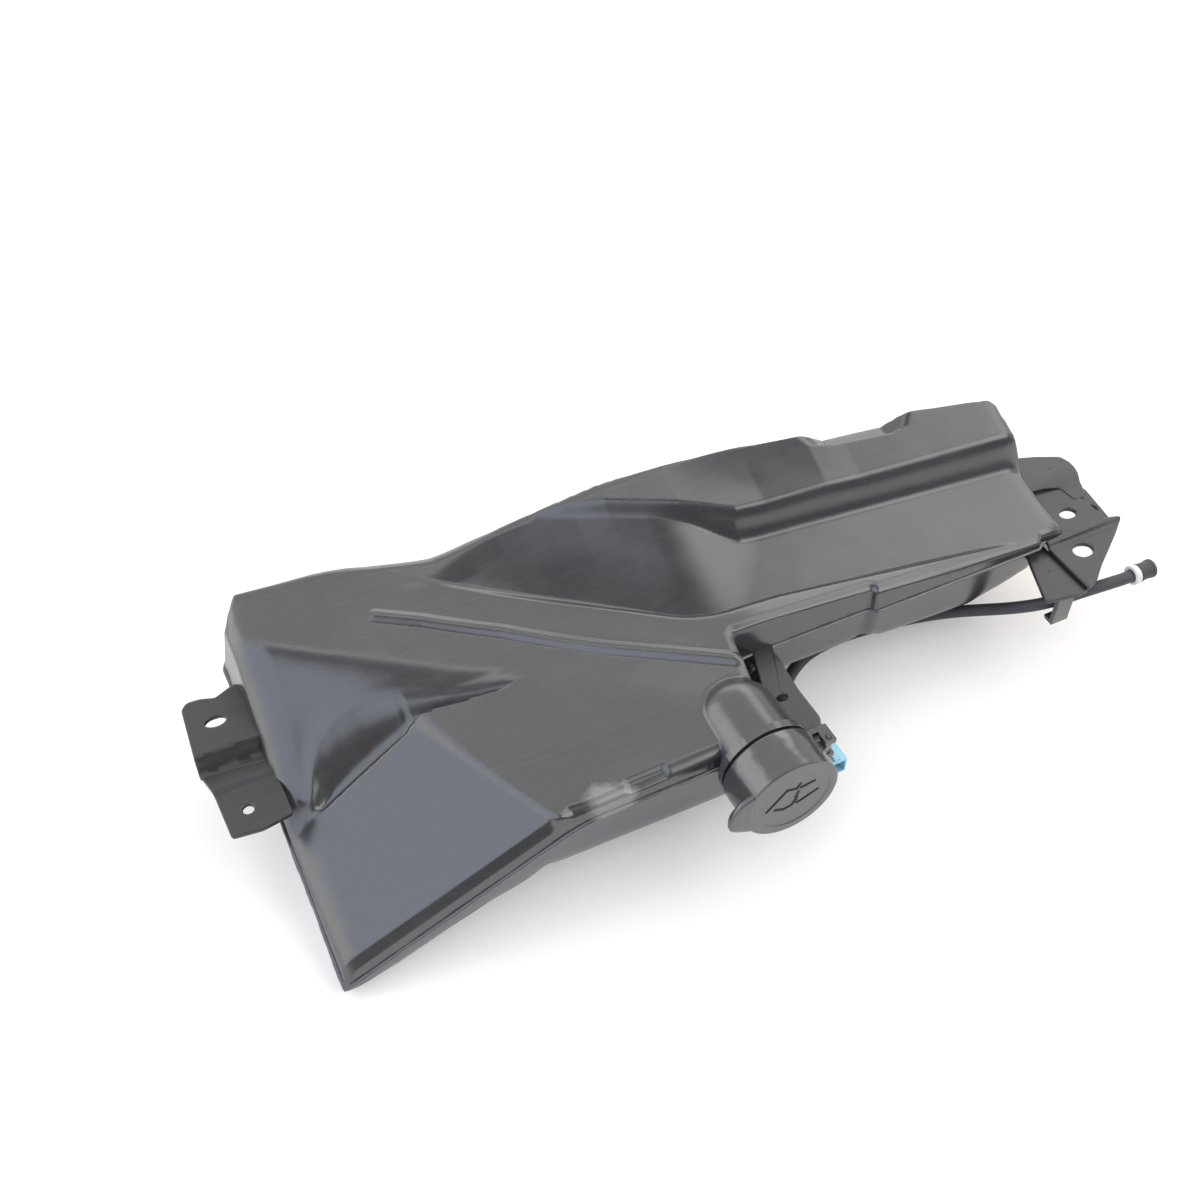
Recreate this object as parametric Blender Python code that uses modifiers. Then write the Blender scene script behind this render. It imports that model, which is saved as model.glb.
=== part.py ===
"""Windscreen washer fluid reservoir.

A blow-moulded tank that lies on its back, with its filler cap, washer pump and hose.
Lengths are in metres. Plan positions are measured from the centre of the filler cap's face:
+X runs along the tank to the hose end, +Y away from the filler, +Z up from the floor.
DATUM then moves everything so that the origin is under the middle of the tank.
"""

import math

import bmesh
import bpy
import numpy as np
from mathutils import Matrix, Vector

OBJECT_NAME = "washer_fluid_reservoir"

# Overall frame: the datum puts the middle of the outer edges at the origin.
LEFT_END_X = -0.2850
RIGHT_END_X = 0.3060
CAP_FACE_Y = -0.0008
FAR_EDGE_Y = 0.2480
DATUM = Vector((-(LEFT_END_X + RIGHT_END_X) / 2, -(CAP_FACE_Y + FAR_EDGE_Y) / 2, 0.0))

# Tank: parting line height, wall, flash and draft.
SEAM_Z = 0.0750
WALL = 0.0035
FLASH_WIDTH = 0.0020
FLASH_HALF = 0.0008
WALL_SLOPE = 6.0
WALL_CREASE = 0.0015
LEFT_ROUND = 0.0240
RIGHT_ROUND = 0.0240
FAR_ROUND = 0.0110
FRONT_ROUND = 0.0090
PANEL_BEVEL = 0.0080
RING_DEPTH = 0.0270

# Filler neck and cap, turned about the Y axis at the parting line.
NECK_RADIUS = 0.0250
NECK_DOME_Y = 0.0580
MOUTH_RADIUS = 0.0230
MOUTH_Y = 0.0043
NECK_BORE = 0.0205
CAP_RADIUS = 0.0290
CAP_INNER_RADIUS = 0.0267
CAP_DEPTH = 0.0250
CAP_DISC = 0.0025
COLLAR_RADIUS = 0.0280
COLLAR_FRONT_Y = 0.0272
COLLAR_BACK_Y = 0.0320
HINGE_X = 0.0360
HINGE_Y = 0.0220

# Washer pump: its axis runs along Y beside the neck, under the fin.
PUMP_X = 0.0410
PUMP_Z = 0.0460
PUMP_RADIUS = 0.0140
SEAT_RADIUS = 0.0168
SEAT_FRONT_Y = 0.0970
SEAT_BORE = 0.0110
SHAFT_RADIUS = 0.0012

# Washer hose.
HOSE_RADIUS = 0.0040
SLEEVE_RADIUS = 0.0064

FIT_GAP = 0.0003
RUNNING_GAP = 0.0001
PLATE = 0.0030

# Sections of the tank in plan, from the left end to the right end. Each gives the outer
# and the inner point of the front edge, the outer and the inner point of the far edge, and
# the number of steps to the next section. The inner points lie past the rounded edges.
SECTIONS = (
    ((-0.2510, 0.0350), (-0.2240, 0.0600), (-0.2505, 0.2260), (-0.2240, 0.2120), 2),
    ((-0.2380, 0.0350), (-0.2170, 0.0600), (-0.2370, 0.2460), (-0.2170, 0.2180), 16),
    ((-0.1770, 0.0350), (-0.1650, 0.0600), (-0.1770, 0.2440), (-0.1680, 0.2180), 16),
    ((-0.1190, 0.0350), (-0.1120, 0.0600), (-0.1190, 0.2300), (-0.1160, 0.2050), 18),
    ((-0.0400, 0.0350), (-0.0420, 0.0600), (-0.0780, 0.2320), (-0.0770, 0.2060), 10),
    ((0.0120, 0.0350), (-0.0100, 0.0600), (-0.0420, 0.2310), (-0.0420, 0.2050), 12),
    ((0.0215, 0.0990), (-0.0020, 0.1220), (0.0020, 0.2290), (0.0010, 0.2040), 10),
    ((0.0760, 0.0990), (0.0680, 0.1220), (0.0760, 0.2190), (0.0720, 0.1940), 7),
    ((0.1140, 0.0990), (0.1120, 0.1210), (0.1220, 0.2090), (0.1180, 0.1850), 1),
    ((0.1170, 0.0955), (0.1150, 0.1200), (0.1260, 0.2085), (0.1220, 0.1846), 11),
    ((0.1950, 0.0955), (0.1880, 0.1190), (0.1950, 0.2000), (0.1900, 0.1760), 6),
    ((0.2400, 0.0955), (0.2290, 0.1190), (0.2400, 0.1906), (0.2300, 0.1680), 1),
    ((0.2440, 0.0990), (0.2320, 0.1200), (0.2440, 0.1898), (0.2320, 0.1670), 1),
    ((0.2540, 0.0990), (0.2345, 0.1205), (0.2540, 0.1870), (0.2345, 0.1640), 1),
    ((0.2620, 0.0990), (0.2360, 0.1210), (0.2620, 0.1790), (0.2360, 0.1610), 0),
)
SIDE_STEPS = 44
OUTER_RINGS = (0.0, 0.035, 0.08, 0.15, 0.25, 0.38, 0.55, 0.77, 1.0)
LEFT_SIDE = (SECTIONS[0][0], SECTIONS[0][2])
RIGHT_SIDE = (SECTIONS[-1][0], SECTIONS[-1][2])

# Height of the far top edge and its place in plan, by X.
FAR_STATIONS = np.array((-0.251, -0.212, -0.177, -0.119, -0.078, -0.011, 0.052, 0.122, 0.262))
FAR_HEIGHTS = np.array((0.107, 0.114, 0.113, 0.109, 0.114, 0.127, 0.133, 0.135, 0.135))
FAR_EDGE = np.array((0.240, 0.240, 0.233, 0.219, 0.220, 0.216, 0.214, 0.200, 0.182))

# Height of the front wall's lower edge above the floor, by X: it arches over the middle.
ARCH_STATIONS = np.array((-0.251, -0.235, -0.220, -0.189, -0.159, -0.124, -0.022, 0.020, 0.060,
                          0.122, 0.199, 0.221, 0.237, 0.262))
ARCH_HEIGHTS = np.array((0.003, 0.003, 0.008, 0.021, 0.030, 0.036, 0.034, 0.036, 0.042,
                         0.042, 0.037, 0.045, 0.054, 0.062))

# The raised bead that runs down the front slope to the filler.
BEAD = ((-0.1640, 0.1980), (-0.1400, 0.1860), (-0.1000, 0.1620), (-0.0530, 0.1280),
        (-0.0150, 0.1035), (0.0210, 0.0800))

# The hollow above the near left panel lies between its near rim and a ridge, by X.
RIM_X = np.array((-0.2510, -0.2326, -0.1725, -0.1700, -0.1088))
RIM_Y = np.array((0.1120, 0.1182, 0.1281, 0.1302, 0.1269))
RIDGE_X = np.array((-0.2410, -0.2350, -0.2263, -0.2192, -0.2077, -0.1931, -0.1800, -0.1679,
                    -0.1506, -0.1254, -0.1088))
RIDGE_Y = np.array((0.1150, 0.1225, 0.1380, 0.1459, 0.1509, 0.1525, 0.1515, 0.1490, 0.1425, 0.1325,
                    0.1269))
HOLLOW_DEPTH = 0.0065
RIDGE_RISE = 0.0020

# The hose from the pump's outlet under the tank, over the bracket's hook to its free end.
HOSE_ROUTE = (
    (0.0495, 0.0925, 0.0249), (0.0509, 0.0939, 0.0214), (0.0541, 0.0971, 0.0154),
    (0.0582, 0.1012, 0.0110), (0.0630, 0.1060, 0.0082), (0.0681, 0.1111, 0.0072),
    (0.0770, 0.1192, 0.0065), (0.0870, 0.1262, 0.0059), (0.0985, 0.1318, 0.0053),
    (0.1120, 0.1348, 0.0051), (0.1270, 0.1355, 0.0055), (0.1430, 0.1338, 0.0068),
    (0.1590, 0.1300, 0.0091), (0.1740, 0.1243, 0.0128), (0.1880, 0.1165, 0.0182),
    (0.2000, 0.1070, 0.0245), (0.2110, 0.0960, 0.0315), (0.2200, 0.0852, 0.0393),
    (0.2290, 0.0755, 0.0473), (0.2400, 0.0685, 0.0540), (0.2540, 0.0645, 0.0583),
    (0.2700, 0.0620, 0.0600), (0.2830, 0.0610, 0.0600), (0.2935, 0.0610, 0.0600),
)
OUTLET_AXIS = Vector((0.35, 0.35, -0.87)).normalized()


def clear_scene():
    for item in list(bpy.data.objects):
        bpy.data.objects.remove(item, do_unlink=True)


def new_collection(name):
    collection = bpy.data.collections.new(name)
    bpy.context.scene.collection.children.link(collection)
    return collection


def material(name, colour, roughness, metallic=0.0):
    result = bpy.data.materials.new(name)
    result.use_nodes = True
    shader = result.node_tree.nodes["Principled BSDF"]
    shader.inputs["Base Color"].default_value = (*colour, 1.0)
    shader.inputs["Roughness"].default_value = roughness
    shader.inputs["Metallic"].default_value = metallic
    return result


# Height fields of the tank's two mould halves.

def smooth_min(first, second, width):
    """The lower of two surfaces, with the crease rounded over a height of width."""
    mix = np.clip(0.5 + 0.5 * (second - first) / width, 0.0, 1.0)
    return second + (first - second) * mix - width * mix * (1.0 - mix)


def smooth_max(first, second, width):
    return -smooth_min(-first, -second, width)


def distance_to_line(x, y, points, closed):
    """Distance in plan from each point to a chain of straight lines."""
    start = np.array(points)
    end = np.roll(start, -1, axis=0)
    if not closed:
        start, end = start[:-1], end[:-1]
    run = end - start
    away_x = x[..., None] - start[:, 0]
    away_y = y[..., None] - start[:, 1]
    along = (away_x * run[:, 0] + away_y * run[:, 1]) / (run ** 2).sum(axis=1)
    along = np.clip(along, 0.0, 1.0)
    return np.hypot(away_x - along * run[:, 0], away_y - along * run[:, 1]).min(axis=-1)


def front_line():
    return [section[0] for section in SECTIONS]


def far_line():
    return [section[2] for section in SECTIONS]


def outline():
    return front_line() + far_line()[::-1]


def inset(x, y):
    """Distance in plan from the parting line, positive inside the tank."""
    start = np.array(outline())
    end = np.roll(start, -1, axis=0)
    rise = end[:, 1] - start[:, 1]
    rise = np.where(rise == 0.0, 1e-12, rise)
    crossing_x = start[:, 0] + (y[..., None] - start[:, 1]) * (end[:, 0] - start[:, 0]) / rise
    spans = (start[:, 1] > y[..., None]) != (end[:, 1] > y[..., None])
    inside = (spans & (x[..., None] < crossing_x)).sum(axis=-1) % 2 == 1
    distance = distance_to_line(x, y, start, closed=True)
    return np.where(inside, distance, -distance)


def seam_height(x, y):
    """The parting line is level, and drops towards the near left corner."""
    corner = 0.010 + 0.457 * (x + 0.251) + 0.3275 * (y - 0.035)
    return smooth_min(np.full_like(x, SEAM_Z), corner, 0.006)


def left_shoulder(x, y):
    """The inclined plane at the left end's far side."""
    return 0.098 + 0.20 * (y - 0.160) - 0.05 * (x + 0.162)


def front_slope(x, y):
    """The panel beside the neck, the slope above it and the left shoulder."""
    across = 0.57 * x + 0.82 * y
    panel = 0.086 + 0.0476 * across
    slope = 0.088 + 0.21 * (across - 0.043)
    surface = smooth_max(smooth_max(panel, slope, 0.002), left_shoulder(x, y), 0.008)
    surface = smooth_min(surface, 0.1015 - 0.085 * x, 0.006)
    rim_right = y - (0.1185 - 0.09 * np.maximum(0.0, x - 0.060))
    past_rim = smooth_min(across - 0.102, rim_right, 0.012)
    return surface - 1.6 * smooth_max(np.zeros_like(x), past_rim, 0.0030)


def far_block(x, y):
    """The high far side with its end notch, and the long pocket cut into its front."""
    floor = 0.0397 + 0.34 * y + 0.034 * x
    wide_wall = 0.1139 + 0.20 * (x + 0.0755) + 0.56 * (y - 0.2175)
    along_tip = 0.965 * (x + 0.1147) + 0.263 * (y - 0.2068)
    into_tip = 0.263 * (x + 0.1147) - 0.965 * (y - 0.2068)
    tip_wall = 0.1060 + 0.20 * along_tip - 0.9 * into_tip
    turning_wall = floor + 0.35 * (0.6 * (y - 0.130) - 0.8 * (x - 0.028))
    bank_foot = 0.166 - 0.1 * (x - 0.055)
    bank = 0.098 + 2.7 * (y - bank_foot) - 0.9 * np.maximum(0.0, 0.060 - x)
    pocket = smooth_max(floor, smooth_min(wide_wall, turning_wall, 0.004), 0.004)
    pocket = smooth_max(smooth_max(pocket, bank, 0.004), tip_wall, 0.003)

    top = np.interp(x, FAR_STATIONS, FAR_HEIGHTS)
    fall = np.interp(x, (0.030, 0.080, 0.145), (0.30, 0.42, 0.50))
    block = top - fall * np.maximum(0.0, np.interp(x, FAR_STATIONS, FAR_EDGE) - y)
    notch = 0.1240 + 0.6 * np.maximum(0.0, np.abs(x - 0.157) - 0.020)
    notch_edge = 0.1905 - 0.16 * (x - 0.137)
    notch = notch + 2.5 * np.maximum(0.0, notch_edge - y)
    block = smooth_min(block, notch, 0.002)
    return smooth_min(pocket, block, np.interp(x, (-0.10, -0.03, 0.05), (0.003, 0.006, 0.004)))


def corner_panel(x, y):
    """The inclined panel at the near left corner, with a steeper chamfer along its right side."""
    panel = 0.0850 + 0.4583 * (x + 0.1684) + 0.2656 * (y - 0.1294)
    past_edge = 0.8997 * (x + 0.1689) + 0.4366 * (y - 0.1293)
    return smooth_max(panel, panel + 0.9 * past_edge, 0.0008)


def pocket_slope(x, y):
    """The hollowed slope below the left shoulder, which sinks to meet the corner panel's end."""
    below = -0.489 * (x + 0.1644) - 0.872 * (y - 0.1574)
    fall = 0.60 * below - 2.3 * np.maximum(below, 0.0) ** 2
    near = np.minimum(np.hypot(x + 0.2360, y - 0.1150) / 0.055, 1.0)
    sunk = 0.0100 * (1 - near) ** 2 * (1 + 2 * near)
    return left_shoulder(x, y) - fall - sunk


def left_corner(x, y):
    """The corner panel, the hollow behind its rim, the ridge above that and the pocket."""
    rim = np.interp(x, RIM_X, RIM_Y)
    ridge = np.interp(x, RIDGE_X, RIDGE_Y)
    width = np.maximum(ridge - rim, 0.0005)
    up = np.clip((y - rim) / width, 0.0, 1.0)
    beside = 0.086 + 0.0476 * (0.57 * x + 0.82 * rim)
    rim_height = np.minimum(corner_panel(x, rim), beside)
    rise = RIDGE_RISE * np.minimum(width / 0.012, 1.0)
    climb = pocket_slope(x, ridge) + rise - rim_height
    depth = np.minimum(HOLLOW_DEPTH, 0.30 * width)
    hollow = rim_height + climb * up ** 1.4 - depth * 6.75 * up * (1 - up) ** 2
    above = pocket_slope(x, y) + rise * np.exp(-((np.maximum(y - ridge, 0.0) / 0.0070) ** 2))
    return np.where(y < rim, corner_panel(x, y), np.where(y < ridge, hollow, above))


def edge_drop(distance, radius):
    """How far a quarter-round edge has fallen at a distance in plan from the wall."""
    inward = np.clip(radius - distance, 0.0, radius)
    return radius - np.sqrt(radius ** 2 - inward ** 2)


def upper_surface(x, y):
    """Top of the tank's upper half, with rounded edges all round."""
    surface = smooth_max(front_slope(x, y), far_block(x, y), 0.0015)
    soft = np.interp(y - np.interp(x, RIM_X, RIM_Y), (0.0, 0.012), (0.0012, 0.0050))
    surface = smooth_min(surface, left_corner(x, y), soft)
    bead = distance_to_line(x, y, BEAD, closed=False)
    surface = surface + 0.0016 * np.exp(-((bead / 0.0034) ** 4))
    seam = seam_height(x, y) + FLASH_HALF
    high = 0.85 * np.maximum(surface - seam, 0.001)
    from_front = distance_to_line(x, y, front_line(), closed=False)
    bevel = PANEL_BEVEL * np.interp(x, (-0.126, -0.114), (1.0, 0.0))
    front_round = np.interp(x, (-0.126, -0.114), (0.0010, FRONT_ROUND))
    surface = surface - np.minimum(1.1 * np.maximum(0.0, bevel - from_front), high)
    left_round = np.interp(y, (0.035, 0.120, 0.190), (0.008, 0.016, LEFT_ROUND))
    edges = ((front_line(), front_round), (LEFT_SIDE, left_round), (far_line(), FAR_ROUND),
             (RIGHT_SIDE, RIGHT_ROUND))
    for line, radius in edges:
        distance = distance_to_line(x, y, line, closed=False)
        surface = surface - edge_drop(distance, np.minimum(radius, high))
    wall = seam + WALL_SLOPE * np.maximum(0.0, inset(x, y))
    return np.maximum(smooth_min(surface, wall, WALL_CREASE), seam)


def lower_surface(x, y):
    """Bottom of the tank's lower half: flat where it rests, arched along the front."""
    arch = np.interp(x, ARCH_STATIONS, ARCH_HEIGHTS)
    from_front = distance_to_line(x, y, front_line(), closed=False)
    surface = smooth_max(arch - 0.72 * np.maximum(0.0, from_front - 0.006), np.zeros_like(x), 0.004)
    for rib_x in (-0.130, 0.120):
        rib = np.exp(-(((x - rib_x) / 0.007) ** 2))
        surface = surface + 0.005 * rib
    seam = seam_height(x, y) - FLASH_HALF
    wall = seam - WALL_SLOPE * np.maximum(0.0, inset(x, y))
    rounding = np.clip(0.30 * (seam - surface), 0.0015, 0.010)
    return np.minimum(smooth_max(surface, wall, rounding), seam)


def eroded(surface, x, y, sign):
    """A surface moved inwards by the wall thickness, measured square to it."""
    result = surface(x, y) - sign * WALL
    for share in (0.5, 1.0):
        drop = WALL * math.sqrt(1.0 - share ** 2)
        for turn in range(8):
            angle = math.tau * turn / 8
            near_x = x + share * WALL * math.cos(angle)
            near_y = y + share * WALL * math.sin(angle)
            moved = surface(near_x, near_y) - sign * drop
            result = np.minimum(result, moved) if sign > 0 else np.maximum(result, moved)
    return result


# The lattice of plan points that the height fields are laid over.

def side_lines():
    """Outer and inner plan points along the front and the far edge, section by section."""
    rows = [[], [], [], []]
    for here, following in zip(SECTIONS[:-1], SECTIONS[1:]):
        for step in range(here[4]):
            share = step / here[4]
            for row, first, second in zip(rows, here[:4], following[:4]):
                row.append(np.array(first) * (1 - share) + np.array(second) * share)
    for row, last in zip(rows, SECTIONS[-1][:4]):
        row.append(np.array(last))
    return [np.array(row) for row in rows]


def closed_loop(front, far, side_steps):
    """One ring of plan points: front edge, right end, far edge, left end."""
    shares = np.arange(side_steps)[:, None] / side_steps
    right = front[-1] * (1 - shares) + far[-1] * shares
    left = far[0] * (1 - shares) + front[0] * shares
    return np.concatenate([front[:-1], right, far[:0:-1], left])


def plan_lattice(rings, side_steps, stride):
    """Plan points in rings from the parting line inwards, then a ladder across the middle."""
    front, front_in, far, far_in = (row[::stride] for row in side_lines())
    outer = closed_loop(front, far, side_steps)
    inner = closed_loop(front_in, far_in, side_steps)
    points = [outer * (1 - share) + inner * share for share in rings]
    count = len(outer)
    faces = []
    for ring in range(len(rings) - 1):
        for k in range(count):
            after = (k + 1) % count
            low, high = ring * count, (ring + 1) * count
            faces.append((low + k, low + after, high + after, high + k))
    columns = len(front_in) - 1
    last = (len(rings) - 1) * count
    ladder = np.zeros((columns + 1, side_steps + 1), dtype=int)
    ladder[:, 0] = last + np.arange(columns + 1)
    ladder[columns, :] = last + columns + np.arange(side_steps + 1)
    ladder[:, side_steps] = last + 2 * columns + side_steps - np.arange(columns + 1)
    ladder[0, 1:] = last + count - np.arange(1, side_steps + 1)
    total = len(rings) * count
    for i in range(1, columns):
        for j in range(1, side_steps):
            share = j / side_steps
            points.append((front_in[i] * (1 - share) + far_in[i] * share)[None, :])
            ladder[i, j] = total
            total += 1
    for i in range(columns):
        for j in range(side_steps):
            faces.append((ladder[i, j], ladder[i + 1, j], ladder[i + 1, j + 1], ladder[i, j + 1]))
    return np.concatenate(points), faces, count


def shell_mesh(name, rings, side_steps, stride, upper, lower):
    """A closed body from an upper and a lower height field over one lattice."""
    plan, faces, count = plan_lattice(rings, side_steps, stride)
    x, y = plan[:, 0], plan[:, 1]
    top, bottom = upper(x, y), lower(x, y)
    size = len(plan)
    vertices = np.concatenate([np.column_stack([x, y, top]), np.column_stack([x, y, bottom])])
    all_faces = [tuple(int(v) for v in face) for face in faces]
    all_faces += [tuple(int(v) + size for v in reversed(face)) for face in faces]
    for k in range(count):
        after = (k + 1) % count
        all_faces.append((k + size, after + size, after, k))
    mesh = bpy.data.meshes.new(name)
    mesh.from_pydata(vertices.tolist(), [], all_faces)
    mesh.validate()
    return mesh


def mesh_object(name, mesh, finish, collection):
    item = bpy.data.objects.new(name, mesh)
    collection.objects.link(item)
    if finish is not None:
        mesh.materials.clear()
        mesh.materials.append(finish)
    item.location = DATUM
    return item


def hide_cutter(item):
    item.hide_render = True
    item.display_type = "WIRE"


def combine(item, other, operation):
    step = item.modifiers.new(operation.title() + " " + other.name, "BOOLEAN")
    step.operation = operation
    step.solver = "EXACT"
    step.object = other


def finished_mesh(item):
    """The object's evaluated mesh as a plain mesh, with curve caps welded."""
    bpy.context.view_layer.update()
    graph = bpy.context.evaluated_depsgraph_get()
    mesh = bpy.data.meshes.new_from_object(item.evaluated_get(graph))
    work = bmesh.new()
    work.from_mesh(mesh)
    bmesh.ops.remove_doubles(work, verts=work.verts, dist=0.00001)
    bmesh.ops.recalc_face_normals(work, faces=work.faces)
    work.to_mesh(mesh)
    work.free()
    return mesh


def axis_matrix(axis, origin):
    """Places local Z along the given axis at the given origin."""
    turn = Vector((0.0, 0.0, 1.0)).rotation_difference(Vector(axis)).to_matrix().to_4x4()
    return Matrix.Translation(Vector(origin)) @ turn


def turned(name, profile, axis, origin, finish, collection, steps=32, closed=False):
    """A turned piece. The profile lists radius and height, from its top down the outer side."""
    profile_mesh = bpy.data.meshes.new(name)
    points = [(radius, 0.0, height) for radius, height in profile]
    edges = [(k, k + 1) for k in range(len(points) - 1)]
    if closed:
        edges.append((len(points) - 1, 0))
    profile_mesh.from_pydata(points, edges, [])
    item = bpy.data.objects.new(name, profile_mesh)
    collection.objects.link(item)
    screw = item.modifiers.new("Screw", "SCREW")
    screw.axis = "Z"
    screw.steps = steps
    screw.render_steps = steps
    screw.use_merge_vertices = True
    screw.merge_threshold = 0.00001
    mesh = finished_mesh(item)
    bpy.data.objects.remove(item, do_unlink=True)
    mesh.transform(axis_matrix(axis, origin))
    mesh.shade_smooth()
    mesh.set_sharp_from_angle(angle=math.radians(35))
    mesh.name = name
    return mesh_object(name, mesh, finish, collection)


def ring(name, outer, inner, low, high, axis, origin, finish, collection, steps=32):
    profile = ((outer, high), (outer, low), (inner, low), (inner, high))
    return turned(name, profile, axis, origin, finish, collection, steps, closed=True)


def rod(name, radius, low, high, axis, origin, finish, collection, steps=24):
    profile = ((0.0, high), (radius, high), (radius, low), (0.0, low))
    return turned(name, profile, axis, origin, finish, collection, steps)


def plate(name, points, holes, thickness, collection, finish=None, matrix=Matrix()):
    """A flat outline with round holes, extruded to the given thickness about its own plane."""
    curve = bpy.data.curves.new(name, "CURVE")
    curve.dimensions = "2D"
    curve.fill_mode = "BOTH"
    curve.extrude = thickness / 2
    rims = [points]
    for centre_x, centre_y, radius_x, radius_y in holes:
        turns = [math.tau * k / 12 for k in range(12)]
        rims.append([(centre_x + radius_x * math.cos(a), centre_y + radius_y * math.sin(a))
                     for a in turns])
    for rim in rims:
        spline = curve.splines.new("POLY")
        spline.points.add(len(rim) - 1)
        for point, (px, py) in zip(spline.points, rim):
            point.co = (px, py, 0.0, 1.0)
        spline.use_cyclic_u = True
    item = bpy.data.objects.new(name, curve)
    collection.objects.link(item)
    mesh = finished_mesh(item)
    bpy.data.objects.remove(item, do_unlink=True)
    mesh.transform(matrix)
    return mesh_object(name, mesh, finish, collection)


def box(name, low, high, collection, finish=None):
    work = bmesh.new()
    bmesh.ops.create_cube(work, size=1.0)
    size = Vector(high) - Vector(low)
    middle = (Vector(high) + Vector(low)) / 2
    bmesh.ops.scale(work, vec=size, verts=work.verts)
    bmesh.ops.translate(work, vec=middle, verts=work.verts)
    mesh = bpy.data.meshes.new(name)
    work.to_mesh(mesh)
    work.free()
    return mesh_object(name, mesh, finish, collection)


def join_cutters(target, others, operation):
    for other in others:
        combine(target, other, operation)
        hide_cutter(other)


def dome_profile(radius, centre, end, steps=6):
    """A round end on a cylinder: from the tip down to its full radius."""
    turns = [math.pi / 2 * (1 - k / steps) for k in range(steps + 1)]
    return [(radius * math.cos(a), centre + radius * math.sin(a)) for a in turns] + [(radius, end)]


def filler_neck(cutters):
    """The neck's outer form and its bore: a round end inside the tank and a narrower mouth."""
    centre = (0.0, 0.0, SEAM_Z)
    outer = dome_profile(NECK_RADIUS, NECK_DOME_Y, COLLAR_FRONT_Y - 0.001)
    outer += [(MOUTH_RADIUS, COLLAR_FRONT_Y - 0.003), (MOUTH_RADIUS, MOUTH_Y + 0.0012),
              (MOUTH_RADIUS - 0.0012, MOUTH_Y), (0.0, MOUTH_Y)]
    neck = turned("neck", outer, (0, 1, 0), centre, None, cutters, steps=40)
    inner = dome_profile(NECK_BORE, NECK_DOME_Y, MOUTH_Y - 0.002) + [(0.0, MOUTH_Y - 0.002)]
    bore = turned("neck_bore", inner, (0, 1, 0), centre, None, cutters, steps=32)
    return neck, bore


def pump_seat(cutters):
    """The boss that the pump's inlet plugs into, and its bore into the tank."""
    centre = (PUMP_X, 0.0, PUMP_Z)
    boss_profile = dome_profile(SEAT_RADIUS, 0.1200, SEAT_FRONT_Y) + [(0.0, SEAT_FRONT_Y)]
    boss = turned("pump_seat", boss_profile, (0, 1, 0), centre, None, cutters, steps=32)
    bore_profile = dome_profile(SEAT_RADIUS - WALL, 0.1200, 0.1030)
    bore_profile += [(SEAT_BORE, 0.1030), (SEAT_BORE, 0.0960), (0.0, 0.0960)]
    bore = turned("pump_seat_bore", bore_profile, (0, 1, 0), centre, None, cutters, steps=16)
    return boss, bore


def level_plate(name, points, z, cutters, holes=(), thickness=PLATE):
    return plate(name, points, holes, thickness, cutters, matrix=Matrix.Translation((0, 0, z)))


def outside_tank(name, cutters):
    """A prism a fitting gap wider than the tank's flash, which trims what stands beside it."""
    rings = (-(FLASH_WIDTH + FIT_GAP) / RING_DEPTH, 1.0)
    mesh = shell_mesh(name, rings, SIDE_STEPS, 1,
                      lambda x, y: np.full_like(x, 0.2000), lambda x, y: np.full_like(x, -0.1000))
    return mesh_object(name, mesh, None, cutters)


def bracket(name, pieces, plastic, parts, cutters):
    """Joins a bracket's plates on to the first one and trims them clear of the tank."""
    body = pieces[0]
    body.name = name
    body.data.materials.clear()
    body.data.materials.append(plastic)
    cutters.objects.unlink(body)
    parts.objects.link(body)
    join_cutters(body, pieces[1:], "UNION")
    join_cutters(body, [outside_tank(name + "_trim", cutters)], "DIFFERENCE")
    return body


def left_bracket(cutters):
    """A stepped fixing tab on the left end: an upper ear, a step and a lower ear."""
    upper = level_plate("left_ear", (
        (-0.2820, 0.2040), (-0.2850, 0.1600), (-0.2450, 0.1560), (-0.2450, 0.2110),
        (-0.2530, 0.2085), (-0.2620, 0.2045), (-0.2700, 0.2075), (-0.2780, 0.2080)),
        SEAM_Z, cutters, holes=((-0.2665, 0.1875, 0.0062, 0.0034),))
    web = level_plate("left_step", (
        (-0.2850, 0.1640), (-0.2840, 0.1560), (-0.2450, 0.1520), (-0.2450, 0.1600)),
        SEAM_Z - 0.0055, cutters, thickness=0.0140)
    middle = level_plate("left_ledge", (
        (-0.2845, 0.1630), (-0.2800, 0.1440), (-0.2450, 0.1400), (-0.2450, 0.1580)),
        SEAM_Z - 0.0110, cutters)
    lower = level_plate("left_foot", (
        (-0.2810, 0.1480), (-0.2800, 0.1170), (-0.2630, 0.1150), (-0.2450, 0.1180),
        (-0.2450, 0.1450)), SEAM_Z - 0.0130, cutters, holes=((-0.2665, 0.1310, 0.0032, 0.0032),))
    return [upper, web, middle, lower]


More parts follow.
